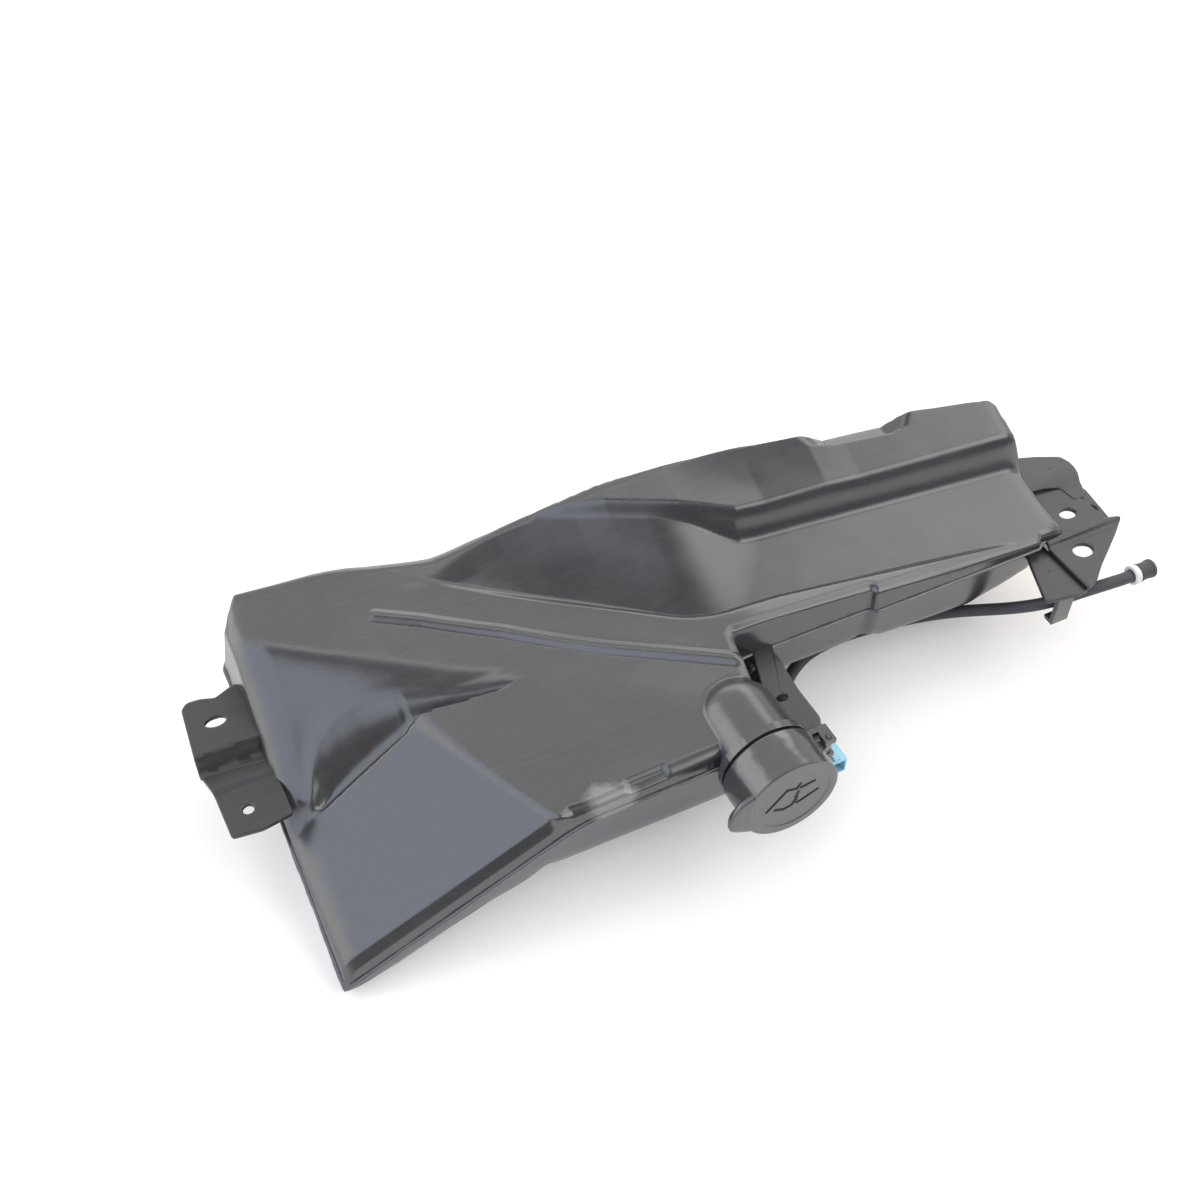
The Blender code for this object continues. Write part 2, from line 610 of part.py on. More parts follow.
def right_bracket(cutters):
    """The folded fixing plate on the right end, with a hook for the hose under it."""
    flange = level_plate("right_flange", (
        (0.2560, 0.1720), (0.2560, 0.1380), (0.2740, 0.1370), (0.2860, 0.1340), (0.2880, 0.1210),
        (0.2960, 0.1210), (0.3010, 0.1290), (0.3055, 0.1430), (0.3060, 0.1500), (0.3035, 0.1570),
        (0.2890, 0.1640), (0.2750, 0.1690)), SEAM_Z + 0.0030, cutters)
    main = level_plate("right_plate", (
        (0.2560, 0.1430), (0.2560, 0.0950), (0.2960, 0.0955), (0.2930, 0.1260), (0.2900, 0.1390),
        (0.2770, 0.1430)), SEAM_Z - 0.0005, cutters, holes=((0.2760, 0.1130, 0.0058, 0.0042),))
    step = level_plate("right_step", (
        (0.2560, 0.1425), (0.2560, 0.1385), (0.2745, 0.1375), (0.2865, 0.1345), (0.2885, 0.1300),
        (0.2905, 0.1300), (0.2895, 0.1385), (0.2768, 0.1425)),
        SEAM_Z + 0.0013, cutters, thickness=0.0050)
    lip = level_plate("right_lip", (
        (0.2895, 0.1330), (0.2920, 0.0960), (0.2995, 0.0970), (0.3035, 0.1290), (0.3000, 0.1340)),
        SEAM_Z - 0.0030, cutters, holes=((0.2965, 0.1110, 0.0024, 0.0034),))
    fold = level_plate("right_fold", (
        (0.2490, 0.1010), (0.2490, 0.0960), (0.3060, 0.0940), (0.3060, 0.0975), (0.2960, 0.0990)),
        SEAM_Z - 0.0020, cutters, thickness=0.0060)
    ear = level_plate("right_ear", (
        (0.2470, 0.0990), (0.2480, 0.0560), (0.2570, 0.0590), (0.2690, 0.0690), (0.2820, 0.0780),
        (0.2960, 0.0880), (0.3060, 0.0960), (0.2980, 0.0985)),
        SEAM_Z - 0.0035, cutters, holes=((0.2660, 0.0840, 0.0068, 0.0056),))
    foot = level_plate("right_foot", (
        (0.2480, 0.1030), (0.2360, 0.1030), (0.2310, 0.0920), (0.2190, 0.0600), (0.2420, 0.0560),
        (0.2500, 0.0570)), SEAM_Z - 0.0055, cutters)
    hook_profile = ((0.0585, 0.0690), (0.0585, 0.0450), (0.0655, 0.0450), (0.0670, 0.0475),
                    (0.0615, 0.0475), (0.0615, 0.0690))
    stand = Matrix(((0, 0, 1, 0.2350), (1, 0, 0, 0), (0, 1, 0, 0), (0, 0, 0, 1)))
    hook = plate("hose_hook", hook_profile, (), 0.0120, cutters, matrix=stand)
    return [main, flange, step, lip, fold, ear, foot, hook]


def neck_fin(cutters):
    """The thin pinched fin between the neck and the tank, with its two holes."""
    return level_plate("neck_fin", (
        (0.0180, 0.0360), (0.0400, 0.0345), (0.0430, 0.0400), (0.0425, 0.0630), (0.0440, 0.0810),
        (0.0430, 0.0930), (0.0480, 0.1030), (0.0340, 0.1030), (0.0150, 0.0450)),
        SEAM_Z, cutters, holes=((0.0305, 0.0620, 0.0038, 0.0024), (0.0350, 0.0400, 0.0020, 0.0020)),
        thickness=0.0024)


def tank_shell(plastic, parts, cutters):
    """The tank: an outer shell, its fixings joined on, then the hollow and the bores."""
    rings = (-FLASH_WIDTH / RING_DEPTH,) + OUTER_RINGS
    mesh = shell_mesh("tank", rings, SIDE_STEPS, 1, upper_surface, lower_surface)
    tank = mesh_object("tank", mesh, plastic, parts)
    thin = tank.modifiers.new("Decimate", "DECIMATE")
    thin.ratio = 0.165
    neck, neck_bore = filler_neck(cutters)
    seat, seat_bore = pump_seat(cutters)
    join_cutters(tank, [neck, seat, neck_fin(cutters)], "UNION")

    def hollow_top(x, y):
        return np.maximum(eroded(upper_surface, x, y, 1), seam_height(x, y) + 0.0005)

    def hollow_bottom(x, y):
        return np.minimum(eroded(lower_surface, x, y, -1), seam_height(x, y) - 0.0005)

    inner_rings = (0.17, 0.24, 0.36, 0.60, 1.0)
    hollow = shell_mesh("hollow", inner_rings, SIDE_STEPS // 2, 1, hollow_top, hollow_bottom)
    cavity = mesh_object("hollow", hollow, None, cutters)
    reduce = cavity.modifiers.new("Decimate", "DECIMATE")
    reduce.ratio = 0.09
    join_cutters(tank, [cavity, neck_bore, seat_bore], "DIFFERENCE")
    return tank


def filler_cap(plastic, parts, cutters):
    """The snap cap: a skirt with a raised disc, a finger tab and a pintle arm."""
    centre = (0.0, 0.0, SEAM_Z)
    profile = ((0.0, CAP_DISC), (CAP_INNER_RADIUS, CAP_DISC), (CAP_INNER_RADIUS, CAP_DEPTH),
               (CAP_RADIUS, CAP_DEPTH), (CAP_RADIUS, 0.0012), (CAP_RADIUS - 0.0012, 0.0),
               (0.0245, 0.0), (0.0240, -0.0008), (0.0, -0.0008))
    cap = turned("filler_cap", profile, (0, 1, 0), centre, plastic, parts, steps=48)
    upright = Matrix(((1, 0, 0, 0), (0, 0, 1, 0.0020), (0, 1, 0, SEAM_Z), (0, 0, 0, 1)))
    tab = plate("cap_tab", (
        (-0.0275, -0.0095), (-0.0340, -0.0090), (-0.0375, -0.0055), (-0.0385, 0.0),
        (-0.0375, 0.0055), (-0.0340, 0.0090), (-0.0275, 0.0095)), (), 0.0034, cutters,
        matrix=upright)
    arm = level_plate("cap_arm", (
        (0.0280, 0.0150), (0.0340, 0.0190), (0.0385, 0.0205), (0.0385, 0.0235), (0.0340, 0.0245),
        (0.0280, 0.0240)), SEAM_Z, cutters, thickness=0.0080)
    pintle = rod("cap_pintle", 0.0015, -0.0085, 0.0085, (0, 0, 1), (HINGE_X, HINGE_Y, SEAM_Z),
                 None, cutters, steps=16)
    join_cutters(cap, [tab, arm, pintle], "UNION")
    return cap


def cap_collar(plastic, parts, cutters):
    """The collar snapped round the neck, with two ears that hold the cap's pintle."""
    collar = ring("cap_collar", COLLAR_RADIUS, NECK_RADIUS + FIT_GAP, COLLAR_FRONT_Y,
                  COLLAR_BACK_Y, (0, 1, 0), (0.0, 0.0, SEAM_Z), plastic, parts, steps=48)
    for name, side in (("upper_ear", 1), ("lower_ear", -1)):
        ear = level_plate(name, (
            (0.0265, 0.0275), (0.0325, 0.0275), (0.0325, 0.0190), (0.0395, 0.0190),
            (0.0395, 0.0310), (0.0265, 0.0310)), SEAM_Z + side * 0.0062, cutters,
            holes=((HINGE_X, HINGE_Y, 0.0019, 0.0019),), thickness=0.0034)
        join_cutters(collar, [ear], "UNION")
    return collar


def along_pump(name, profile, finish, parts, steps=32, closed=False):
    return turned(name, profile, (0, 1, 0), (PUMP_X, 0.0, PUMP_Z), finish, parts, steps, closed)


def pump_tube(name, outer, inner, low, high, finish, parts, steps=32):
    return ring(name, outer, inner, low, high, (0, 1, 0), (PUMP_X, 0.0, PUMP_Z), finish, parts, steps)


def pump_rod(name, radius, low, high, finish, parts, steps=24):
    return rod(name, radius, low, high, (0, 1, 0), (PUMP_X, 0.0, PUMP_Z), finish, parts, steps)


def pump_housing(plastic, parts, cutters):
    """The volute with its inlet nipple along the axis and its outlet nipple slanting down."""
    profile = ((0.0060, 0.1080), (0.0064, 0.1065), (0.0064, 0.0915), (PUMP_RADIUS, 0.0905),
               (PUMP_RADIUS, 0.0763), (0.0105, 0.0763), (0.0105, 0.0875), (0.0045, 0.0885),
               (0.0045, 0.1080))
    housing = along_pump("pump_housing", profile, plastic, parts, closed=True)
    start = Vector((PUMP_X, 0.0840, PUMP_Z)) + OUTLET_AXIS * 0.0120
    nipple = rod("outlet_nipple", 0.0040, 0.0, 0.0119, OUTLET_AXIS, start, None, cutters, steps=16)
    passage = rod("outlet_passage", 0.0022, -0.0040, 0.0140, OUTLET_AXIS, start, None, cutters, 12)
    join_cutters(housing, [nipple], "UNION")
    join_cutters(housing, [passage], "DIFFERENCE")
    return housing


def pump_impeller(plastic, parts, cutters):
    """A hub with six straight radial blades on a back disc."""
    hub = pump_tube("impeller", 0.0040, SHAFT_RADIUS + FIT_GAP, 0.0790, 0.0850, plastic, parts, 24)
    disc = pump_tube("impeller_disc", 0.0095, 0.0030, 0.0790, 0.0800, None, cutters, 24)
    join_cutters(hub, [disc], "UNION")
    for k in range(6):
        blade = box("impeller_blade_%d" % (k + 1), (0.0030, -0.0005, 0.0795),
                    (0.0092, 0.0005, 0.0845), cutters)
        turn = Matrix.Rotation(math.tau * k / 6 + 0.2, 4, "Z")
        blade.data.transform(axis_matrix((0, 1, 0), (PUMP_X, 0.0, PUMP_Z)) @ turn)
        join_cutters(hub, [blade], "UNION")
    return hub


def motor_magnets(ferrite, parts, cutters):
    """Two arc magnets inside the can, each cut from a ring."""
    for name, side in (("left_magnet", -1), ("right_magnet", 1)):
        magnet = pump_tube(name, 0.0117, 0.0083, 0.0520, 0.0690, ferrite, parts)
        near, away = PUMP_X + side * 0.0040, PUMP_X - side * 0.0150
        keep_out = box(name + "_cut", (min(near, away), 0.0500, PUMP_Z - 0.0150),
                       (max(near, away), 0.0710, PUMP_Z + 0.0150), cutters)
        join_cutters(magnet, [keep_out], "DIFFERENCE")


def armature_core(steel, parts, cutters):
    """The wound core: a round stack with three slots."""
    core = pump_tube("armature", 0.0077, SHAFT_RADIUS + FIT_GAP, 0.0540, 0.0670, steel, parts)
    for k in range(3):
        slot = box("armature_slot_%d" % (k + 1), (0.0045, -0.0008, 0.0530),
                   (0.0090, 0.0008, 0.0680), cutters)
        turn = Matrix.Rotation(math.tau * k / 3, 4, "Z")
        slot.data.transform(axis_matrix((0, 1, 0), (PUMP_X, 0.0, PUMP_Z)) @ turn)
        join_cutters(core, [slot], "DIFFERENCE")
    return core


def pump_connector(plastic, parts, cutters):
    """The plug housing on the rear of the pump, open towards the filler, with its latch."""
    low = Vector((0.0430, 0.0250, 0.0360))
    high = Vector((0.0560, 0.0417, 0.0480))
    connector = box("pump_connector", low, high, parts, plastic)
    bevel = connector.modifiers.new("Bevel", "BEVEL")
    bevel.width = 0.0010
    bevel.segments = 2
    socket = box("connector_socket", low + Vector((0.0014, -0.0020, 0.0014)),
                 high - Vector((0.0014, 0.0050, 0.0014)), cutters)
    latch = box("connector_latch", (0.0475, 0.0260, 0.0475), (0.0515, 0.0350, 0.0495), cutters)
    join_cutters(connector, [latch], "UNION")
    join_cutters(connector, [socket], "DIFFERENCE")
    for k, x in enumerate((0.0465, 0.0525)):
        slit = box("terminal_slit_%d" % (k + 1), (x - 0.0016, 0.0340, 0.0412),
                   (x + 0.0016, 0.0430, 0.0428), cutters)
        join_cutters(connector, [slit], "DIFFERENCE")
    return connector


def pump_terminals(brass, parts):
    """Two flat blades that stand in the plug housing."""
    for name, x in (("left_terminal", 0.0465), ("right_terminal", 0.0525)):
        box(name, (x - 0.0013, 0.0290, 0.0415), (x + 0.0013, 0.0415, 0.0425), parts, brass)


def motor_brushes(carbon, parts):
    """The two brushes beside the commutator."""
    for name, x in (("left_brush", PUMP_X - 0.00565), ("right_brush", PUMP_X + 0.00565)):
        box(name, (x - 0.0015, 0.0484, PUMP_Z - 0.0016), (x + 0.0015, 0.0512, PUMP_Z + 0.0016),
            parts, carbon)


def smooth_route(points, per_span):
    """Points along a smooth curve through the given ones."""
    nodes = [Vector(p) for p in points]
    nodes = [nodes[0] * 2 - nodes[1]] + nodes + [nodes[-1] * 2 - nodes[-2]]
    route = []
    for k in range(1, len(nodes) - 2):
        before, here, after, later = nodes[k - 1:k + 3]
        for step in range(per_span):
            t = step / per_span
            route.append(0.5 * ((2 * here) + (after - before) * t
                                + (2 * before - 5 * here + 4 * after - later) * t ** 2
                                + (3 * here - before - 3 * after + later) * t ** 3))
    route.append(nodes[-2])
    return route


def washer_hose(rubber, parts):
    curve = bpy.data.curves.new("hose", "CURVE")
    curve.dimensions = "3D"
    curve.bevel_depth = HOSE_RADIUS
    curve.bevel_resolution = 2
    curve.use_fill_caps = True
    spline = curve.splines.new("POLY")
    route = smooth_route(HOSE_ROUTE, 2)
    spline.points.add(len(route) - 1)
    for point, place in zip(spline.points, route):
        point.co = (*place, 1.0)
    item = bpy.data.objects.new("hose_guide", curve)
    parts.objects.link(item)
    mesh = finished_mesh(item)
    bpy.data.objects.remove(item, do_unlink=True)
    mesh.shade_smooth()
    mesh.set_sharp_from_angle(angle=math.radians(40))
    return mesh_object("hose", mesh, rubber, parts)


def hose_end(rubber, white, parts):
    """The coupling at the free end: a white band and a wider rubber sleeve."""
    x, y, z = HOSE_ROUTE[-1]
    origin = (x, y, z)
    ring("hose_band", SLEEVE_RADIUS + 0.0003, HOSE_RADIUS + FIT_GAP, -0.0042, 0.0,
         (1, 0, 0), origin, white, parts, steps=24)
    ring("hose_sleeve", SLEEVE_RADIUS, 0.0034, FIT_GAP, 0.0122, (1, 0, 0), origin, rubber, parts,
         steps=24)


def move_origin(item, place):
    """Moves the object's origin onto a joint's axis without moving its shape."""
    target = Vector(place) + DATUM
    item.data.transform(Matrix.Translation(item.location - target))
    item.location = target


def build():
    clear_scene()
    parts = new_collection(OBJECT_NAME)
    cutters = new_collection("cutters")

    black = material("black_polyethylene", (0.035, 0.035, 0.038), 0.38)
    cap_black = material("black_cap_plastic", (0.040, 0.041, 0.044), 0.35)
    rubber = material("black_rubber", (0.030, 0.030, 0.031), 0.60)
    strainer_grey = material("strainer_nylon", (0.55, 0.55, 0.52), 0.50)
    pump_black = material("pump_plastic", (0.030, 0.030, 0.032), 0.45)
    blue = material("connector_blue", (0.30, 0.62, 0.78), 0.40)
    steel = material("motor_steel", (0.55, 0.56, 0.58), 0.30, 1.0)
    core_steel = material("core_steel", (0.35, 0.33, 0.32), 0.45, 1.0)
    copper = material("copper", (0.72, 0.38, 0.22), 0.35, 1.0)
    brass = material("brass", (0.75, 0.62, 0.35), 0.30, 1.0)
    ferrite = material("ferrite", (0.10, 0.10, 0.11), 0.60)
    carbon = material("carbon", (0.05, 0.05, 0.05), 0.70)
    white = material("white_band", (0.82, 0.83, 0.82), 0.50)

    tank_shell(black, parts, cutters)
    bracket("left_bracket", left_bracket(cutters), black, parts, cutters)
    bracket("right_bracket", right_bracket(cutters), black, parts, cutters)
    cap = filler_cap(cap_black, parts, cutters)
    cap_collar(cap_black, parts, cutters)
    seal = ring("cap_seal", 0.0262, 0.0190, 0.0028, 0.0040, (0, 1, 0), (0.0, 0.0, SEAM_Z),
                rubber, parts, steps=32)
    for item in (cap, seal):
        move_origin(item, (HINGE_X, HINGE_Y, SEAM_Z))

    pump_housing(pump_black, parts, cutters)
    pump_tube("motor_case", PUMP_RADIUS, 0.0129, 0.0463, 0.0760, pump_black, parts)
    can_profile = ((0.0126, 0.0750), (0.0126, 0.0466), (0.0120, 0.0466), (0.0120, 0.0742),
                   (0.0032, 0.0742), (0.0032, 0.0750))
    along_pump("motor_can", can_profile, steel, parts, closed=True)
    end_profile = ((0.0, 0.0440), (0.0031, 0.0440), (0.0031, 0.0475), (0.0117, 0.0475),
                   (0.0117, 0.0460), (PUMP_RADIUS, 0.0460), (PUMP_RADIUS, 0.0430),
                   (0.0130, 0.0420), (0.0, 0.0420))
    along_pump("motor_end_cap", end_profile, pump_black, parts)
    pump_connector(blue, parts, cutters)
    pump_terminals(brass, parts)
    motor_magnets(ferrite, parts, cutters)
    motor_brushes(carbon, parts)
    pump_tube("rear_bush", 0.0028, SHAFT_RADIUS + RUNNING_GAP, 0.0443, 0.0475, brass, parts, 20)
    pump_tube("front_bush", 0.0029, SHAFT_RADIUS + RUNNING_GAP, 0.0722, 0.0752, brass, parts, 20)
    pump_tube("shaft_seal", 0.0100, SHAFT_RADIUS + FIT_GAP, 0.0766, 0.0784, rubber, parts, 24)
    rotor = [
        pump_rod("motor_shaft", SHAFT_RADIUS, 0.0443, 0.0845, steel, parts, 16),
        pump_tube("commutator", 0.0038, SHAFT_RADIUS + FIT_GAP, 0.0480, 0.0525, copper, parts, 24),
        armature_core(core_steel, parts, cutters),
        pump_impeller(pump_black, parts, cutters),
    ]
    for item in rotor:
        move_origin(item, (PUMP_X, 0.0600, PUMP_Z))

    grommet_profile = ((0.0107, 0.1075), (0.0125, 0.1060), (0.0125, 0.1035), (0.0107, 0.1033),
                       (0.0107, 0.0967), (0.0140, 0.0967), (0.0140, 0.0935), (0.0067, 0.0935),
                       (0.0067, 0.1075))
    along_pump("pump_grommet", grommet_profile, rubber, parts, closed=True)
    strainer_profile = ((0.0, 0.1180), (0.0050, 0.1180), (0.0062, 0.1165), (0.0062, 0.1083),
                        (0.0048, 0.1083), (0.0048, 0.1155), (0.0, 0.1165))
    along_pump("pump_strainer", strainer_profile, strainer_grey, parts, steps=20)

    washer_hose(rubber, parts)
    hose_end(rubber, white, parts)


build()
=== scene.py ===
import math

import bmesh
import bpy
import numpy as np
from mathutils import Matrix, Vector


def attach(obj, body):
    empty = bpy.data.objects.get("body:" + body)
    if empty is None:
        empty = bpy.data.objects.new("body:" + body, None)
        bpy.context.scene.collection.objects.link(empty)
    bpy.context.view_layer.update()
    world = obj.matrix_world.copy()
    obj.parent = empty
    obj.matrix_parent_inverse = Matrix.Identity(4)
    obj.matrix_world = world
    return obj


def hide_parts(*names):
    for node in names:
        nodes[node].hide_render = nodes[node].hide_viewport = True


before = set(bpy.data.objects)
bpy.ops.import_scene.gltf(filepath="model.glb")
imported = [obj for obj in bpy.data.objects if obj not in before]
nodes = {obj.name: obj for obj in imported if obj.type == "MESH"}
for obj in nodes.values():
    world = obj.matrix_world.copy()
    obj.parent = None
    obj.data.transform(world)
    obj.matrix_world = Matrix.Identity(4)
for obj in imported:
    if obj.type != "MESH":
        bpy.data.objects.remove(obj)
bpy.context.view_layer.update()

# The camera: a phone held at arm's length above the near left corner, level, looking down
# at 47 degrees.
camera = bpy.data.objects.new("camera", bpy.data.cameras.new("camera"))
bpy.context.scene.collection.objects.link(camera)
camera.data.lens = 43.2
camera.data.sensor_width = 36.0
camera.location = (-0.302995, -0.485892, 0.719063)
looking = Vector((0.2990, 0.6130, -0.7314))
camera.rotation_euler = looking.to_track_quat("-Z", "Y").to_euler()
bpy.context.scene.camera = camera
bpy.context.scene.view_settings.view_transform = "Standard"


# The floor and the light: a white table under one wide softbox almost overhead, a grey room
# beyond the part and a darker one behind the camera.
def linear(colour):
    """A written sRGB hex colour as linear red, green, blue and alpha."""
    value = np.array([int(colour[k:k + 2], 16) for k in (1, 3, 5)]) / 255
    value = np.where(value <= 0.04045, value / 12.92, ((value + 0.055) / 1.055) ** 2.4)
    return (*value.tolist(), 1.0)


def add_node(tree, kind, sockets=None, **settings):
    """A shader node. A socket's value is a number, a colour or another node's output."""
    made = tree.nodes.new(kind)
    for name, value in settings.items():
        setattr(made, name, value)
    for name, value in (sockets or {}).items():
        if isinstance(value, bpy.types.NodeSocket):
            tree.links.new(value, made.inputs[name])
        else:
            made.inputs[name].default_value = value
    return made


def new_material(name):
    """A node material and its tree, cleared of nodes."""
    made = bpy.data.materials.new(name)
    made.use_nodes = True
    made.node_tree.nodes.clear()
    return made, made.node_tree


def mesh_piece(name, vertices, faces, material, smooth=40):
    """A mesh object at the origin from whole arrays, shaded smooth up to an angle in degrees."""
    mesh = bpy.data.meshes.new(name)
    mesh.from_pydata(vertices, [], faces)
    mesh.update()
    mesh.shade_smooth()
    mesh.set_sharp_from_angle(angle=math.radians(smooth))
    mesh.materials.append(material)
    piece = bpy.data.objects.new(name, mesh)
    bpy.context.scene.collection.objects.link(piece)
    return piece


table_white, tree = new_material("white_laminate_table")
# A matt white top. What the camera and reflections see is lifted to white, and shade stays on it.
path = add_node(tree, "ShaderNodeLightPath")
matt = add_node(tree, "ShaderNodeBsdfDiffuse", {"Color": linear("#e6e3df")})
lift = add_node(tree, "ShaderNodeEmission", {"Color": linear("#ffffff"), "Strength": 0.23})
lifted = add_node(tree, "ShaderNodeAddShader")
tree.links.new(matt.outputs[0], lifted.inputs[0])
tree.links.new(lift.outputs[0], lifted.inputs[1])
seen = add_node(tree, "ShaderNodeMath", {0: path.outputs["Is Camera Ray"],
                                         1: path.outputs["Is Glossy Ray"]}, operation="MAXIMUM")
seen = add_node(tree, "ShaderNodeMath", {0: seen.outputs[0],
                                         1: path.outputs["Is Transmission Ray"]}, operation="MAXIMUM")
choice = add_node(tree, "ShaderNodeMixShader", {0: seen.outputs[0]})
tree.links.new(matt.outputs[0], choice.inputs[1])
tree.links.new(lifted.outputs[0], choice.inputs[2])
add_node(tree, "ShaderNodeOutputMaterial", {"Surface": choice.outputs[0]})
reach = 4.0
table = mesh_piece("table_top", [(-reach, -reach, 0), (reach, -reach, 0), (reach, reach, 0),
                                 (-reach, reach, 0)], [(0, 1, 2, 3)], table_white)

world = bpy.data.worlds.new("room")
bpy.context.scene.world = world
world.use_nodes = True
tree = world.node_tree
tree.nodes.clear()
# A white ceiling with a row of tubes along X, darker behind the row and behind the camera, a cool
# window on the left, and beyond it a pale wall, a brighter window on the right with a lamp behind
# it, a white wall opposite, and two small lamps that show on the cap's skirt. The soft bands on the
# tank are their reflections.
direction = add_node(tree, "ShaderNodeTexCoord").outputs["Generated"]


def toward(vector, low, high):
    """A smooth ramp from 0 to 1 over the cosine between a direction and the given vector."""
    along = add_node(tree, "ShaderNodeVectorMath", {0: direction, 1: vector}, operation="DOT_PRODUCT")
    return add_node(tree, "ShaderNodeMapRange", {
        "Value": along.outputs["Value"], "From Min": low, "From Max": high},
        interpolation_type="SMOOTHSTEP").outputs[0]


def mixed(share, first, second):
    """A strength that passes from the first to the second as the share goes from 0 to 1."""
    return add_node(tree, "ShaderNodeMix", {0: share, 2: first, 3: second}).outputs[0]


window = toward((-0.60, -0.25, 0.76), 0.76, 0.90)
strength = mixed(toward((0.0, 1.0, 0.0), -0.62, -0.40), 0.25, 1.10)
strength = mixed(toward((0.08, -0.14, 0.987), 0.945, 0.978), strength, 0.25)
tubes = add_node(tree, "ShaderNodeMath", {0: toward((0.0, 1.0, 0.0), 0.13, 0.18),
                                          1: toward((0.0, -1.0, 0.0), -0.25, -0.20)},
                 operation="MULTIPLY").outputs[0]
strength = mixed(tubes, strength, 3.0)
strength = mixed(window, strength, 1.95)
# Each bright patch: where it is, the cosines between which it fades in, and its strength.
for place, low, high, level in (
        ((-0.95, 0.20, 0.20), 0.78, 0.93, 2.1),
        ((0.66, 0.02, 0.75), 0.905, 0.95, 2.35),
        ((0.50, -0.60, 0.62), 0.93, 0.97, 3.0),
        ((0.30, 0.94, 0.15), 0.86, 0.96, 2.2),
        ((0.55, 0.62, 0.56), 0.972, 0.992, 2.8),
        ((-0.70, 0.61, 0.38), 0.93, 0.98, 2.6)):
    strength = mixed(toward(place, low, high), strength, level)
tint = add_node(tree, "ShaderNodeMix", {0: window, 6: linear("#fffdfb"), 7: linear("#e4ecfd")},
                data_type="RGBA")
room = add_node(tree, "ShaderNodeBackground", {"Color": tint.outputs[2], "Strength": strength})
white = add_node(tree, "ShaderNodeBackground", {"Color": linear("#ffffff"), "Strength": 1.0})
path = add_node(tree, "ShaderNodeLightPath")
choice = add_node(tree, "ShaderNodeMixShader", {0: path.outputs["Is Camera Ray"]})
tree.links.new(room.outputs[0], choice.inputs[1])
tree.links.new(white.outputs[0], choice.inputs[2])
add_node(tree, "ShaderNodeOutputWorld", {"Surface": choice.outputs[0]})


# The washer hose: extruded black rubber, 8 mm outside. It is pushed on the pump's outlet, runs
# under the tank and over the hook of the right bracket, and ends in a coupling sleeve.
HOSE_ROUTE = (
    (0.0495, 0.0925, 0.0249), (0.0509, 0.0939, 0.0214), (0.0541, 0.0971, 0.0154),
    (0.0582, 0.1012, 0.0110), (0.0630, 0.1060, 0.0082), (0.0681, 0.1111, 0.0072),
    (0.0770, 0.1192, 0.0065), (0.0870, 0.1262, 0.0059), (0.0985, 0.1318, 0.0053),
    (0.1120, 0.1348, 0.0051), (0.1270, 0.1355, 0.0055), (0.1430, 0.1338, 0.0068),
    (0.1590, 0.1300, 0.0091), (0.1740, 0.1243, 0.0128), (0.1880, 0.1165, 0.0182),
    (0.2000, 0.1070, 0.0245), (0.2110, 0.0960, 0.0315), (0.2200, 0.0852, 0.0393),
    (0.2290, 0.0755, 0.0473), (0.2400, 0.0685, 0.0540), (0.2540, 0.0645, 0.0583),
    (0.2700, 0.0620, 0.0600), (0.2830, 0.0610, 0.0600), (0.2935, 0.0610, 0.0600),
)
# Plan positions here and below are counted from the middle of the filler cap's face.
DATUM = np.array((-0.0105, -0.1236, 0.0))
HOSE_RADIUS = 0.0040


def smooth_line(points, per_span):
    """A Catmull-Rom curve through the points: each span is a cubic of its four nearest points."""
    p = np.array(points)
    p = np.vstack([2 * p[0] - p[1], p, 2 * p[-1] - p[-2]])
    t = (np.arange(per_span) / per_span)[None, :, None]
    before, here, after, later = (p[k:len(p) - 3 + k, None, :] for k in range(4))
    spans = 0.5 * (2 * here + (after - before) * t
                   + (2 * before - 5 * here + 4 * after - later) * t ** 2
                   + (3 * here - before - 3 * after + later) * t ** 3)
    return np.vstack([spans.reshape(-1, p.shape[1]), p[-2]])


def grid_faces(rows, columns, closed_rows=False, closed_columns=False):
    """Quads over a grid of rows by columns, wrapping round where a direction is closed."""
    i = np.arange(rows if closed_rows else rows - 1)[:, None]
    j = np.arange(columns if closed_columns else columns - 1)[None, :]
    i2, j2 = (i + 1) % rows, (j + 1) % columns
    quads = np.stack([i * columns + j, i2 * columns + j, i2 * columns + j2, i * columns + j2], axis=-1)
    return quads.reshape(-1, 4)


def rubber_material(name, base, dusty, roughness, grain_mm):
    """Matt rubber: a fine grain, and a dusty bloom in broad patches that is also duller."""
    made, tree = new_material(name)
    place = add_node(tree, "ShaderNodeTexCoord").outputs["Object"]
    bloom = add_node(tree, "ShaderNodeTexNoise", {"Vector": place, "Scale": 70.0, "Detail": 5.0,
                                                  "Roughness": 0.62})
    grain = add_node(tree, "ShaderNodeTexNoise", {"Vector": place, "Scale": 1000.0 / grain_mm,
                                                  "Detail": 2.0})
    colour = add_node(tree, "ShaderNodeMix", {0: bloom.outputs["Fac"], 6: linear(base),
                                              7: linear(dusty)}, data_type="RGBA")
    rough = add_node(tree, "ShaderNodeMapRange", {"Value": bloom.outputs["Fac"], "From Min": 0.3,
                                                  "From Max": 0.7, "To Min": roughness - 0.07,
                                                  "To Max": roughness + 0.08})
    bump = add_node(tree, "ShaderNodeBump", {"Height": grain.outputs["Fac"], "Strength": 0.25,
                                             "Distance": 0.00015})
    shader = add_node(tree, "ShaderNodeBsdfPrincipled", {
        "Base Color": colour.outputs[2], "Roughness": rough.outputs[0], "IOR": 1.52,
        "Normal": bump.outputs[0]})
    add_node(tree, "ShaderNodeOutputMaterial", {"Surface": shader.outputs[0]})
    return made


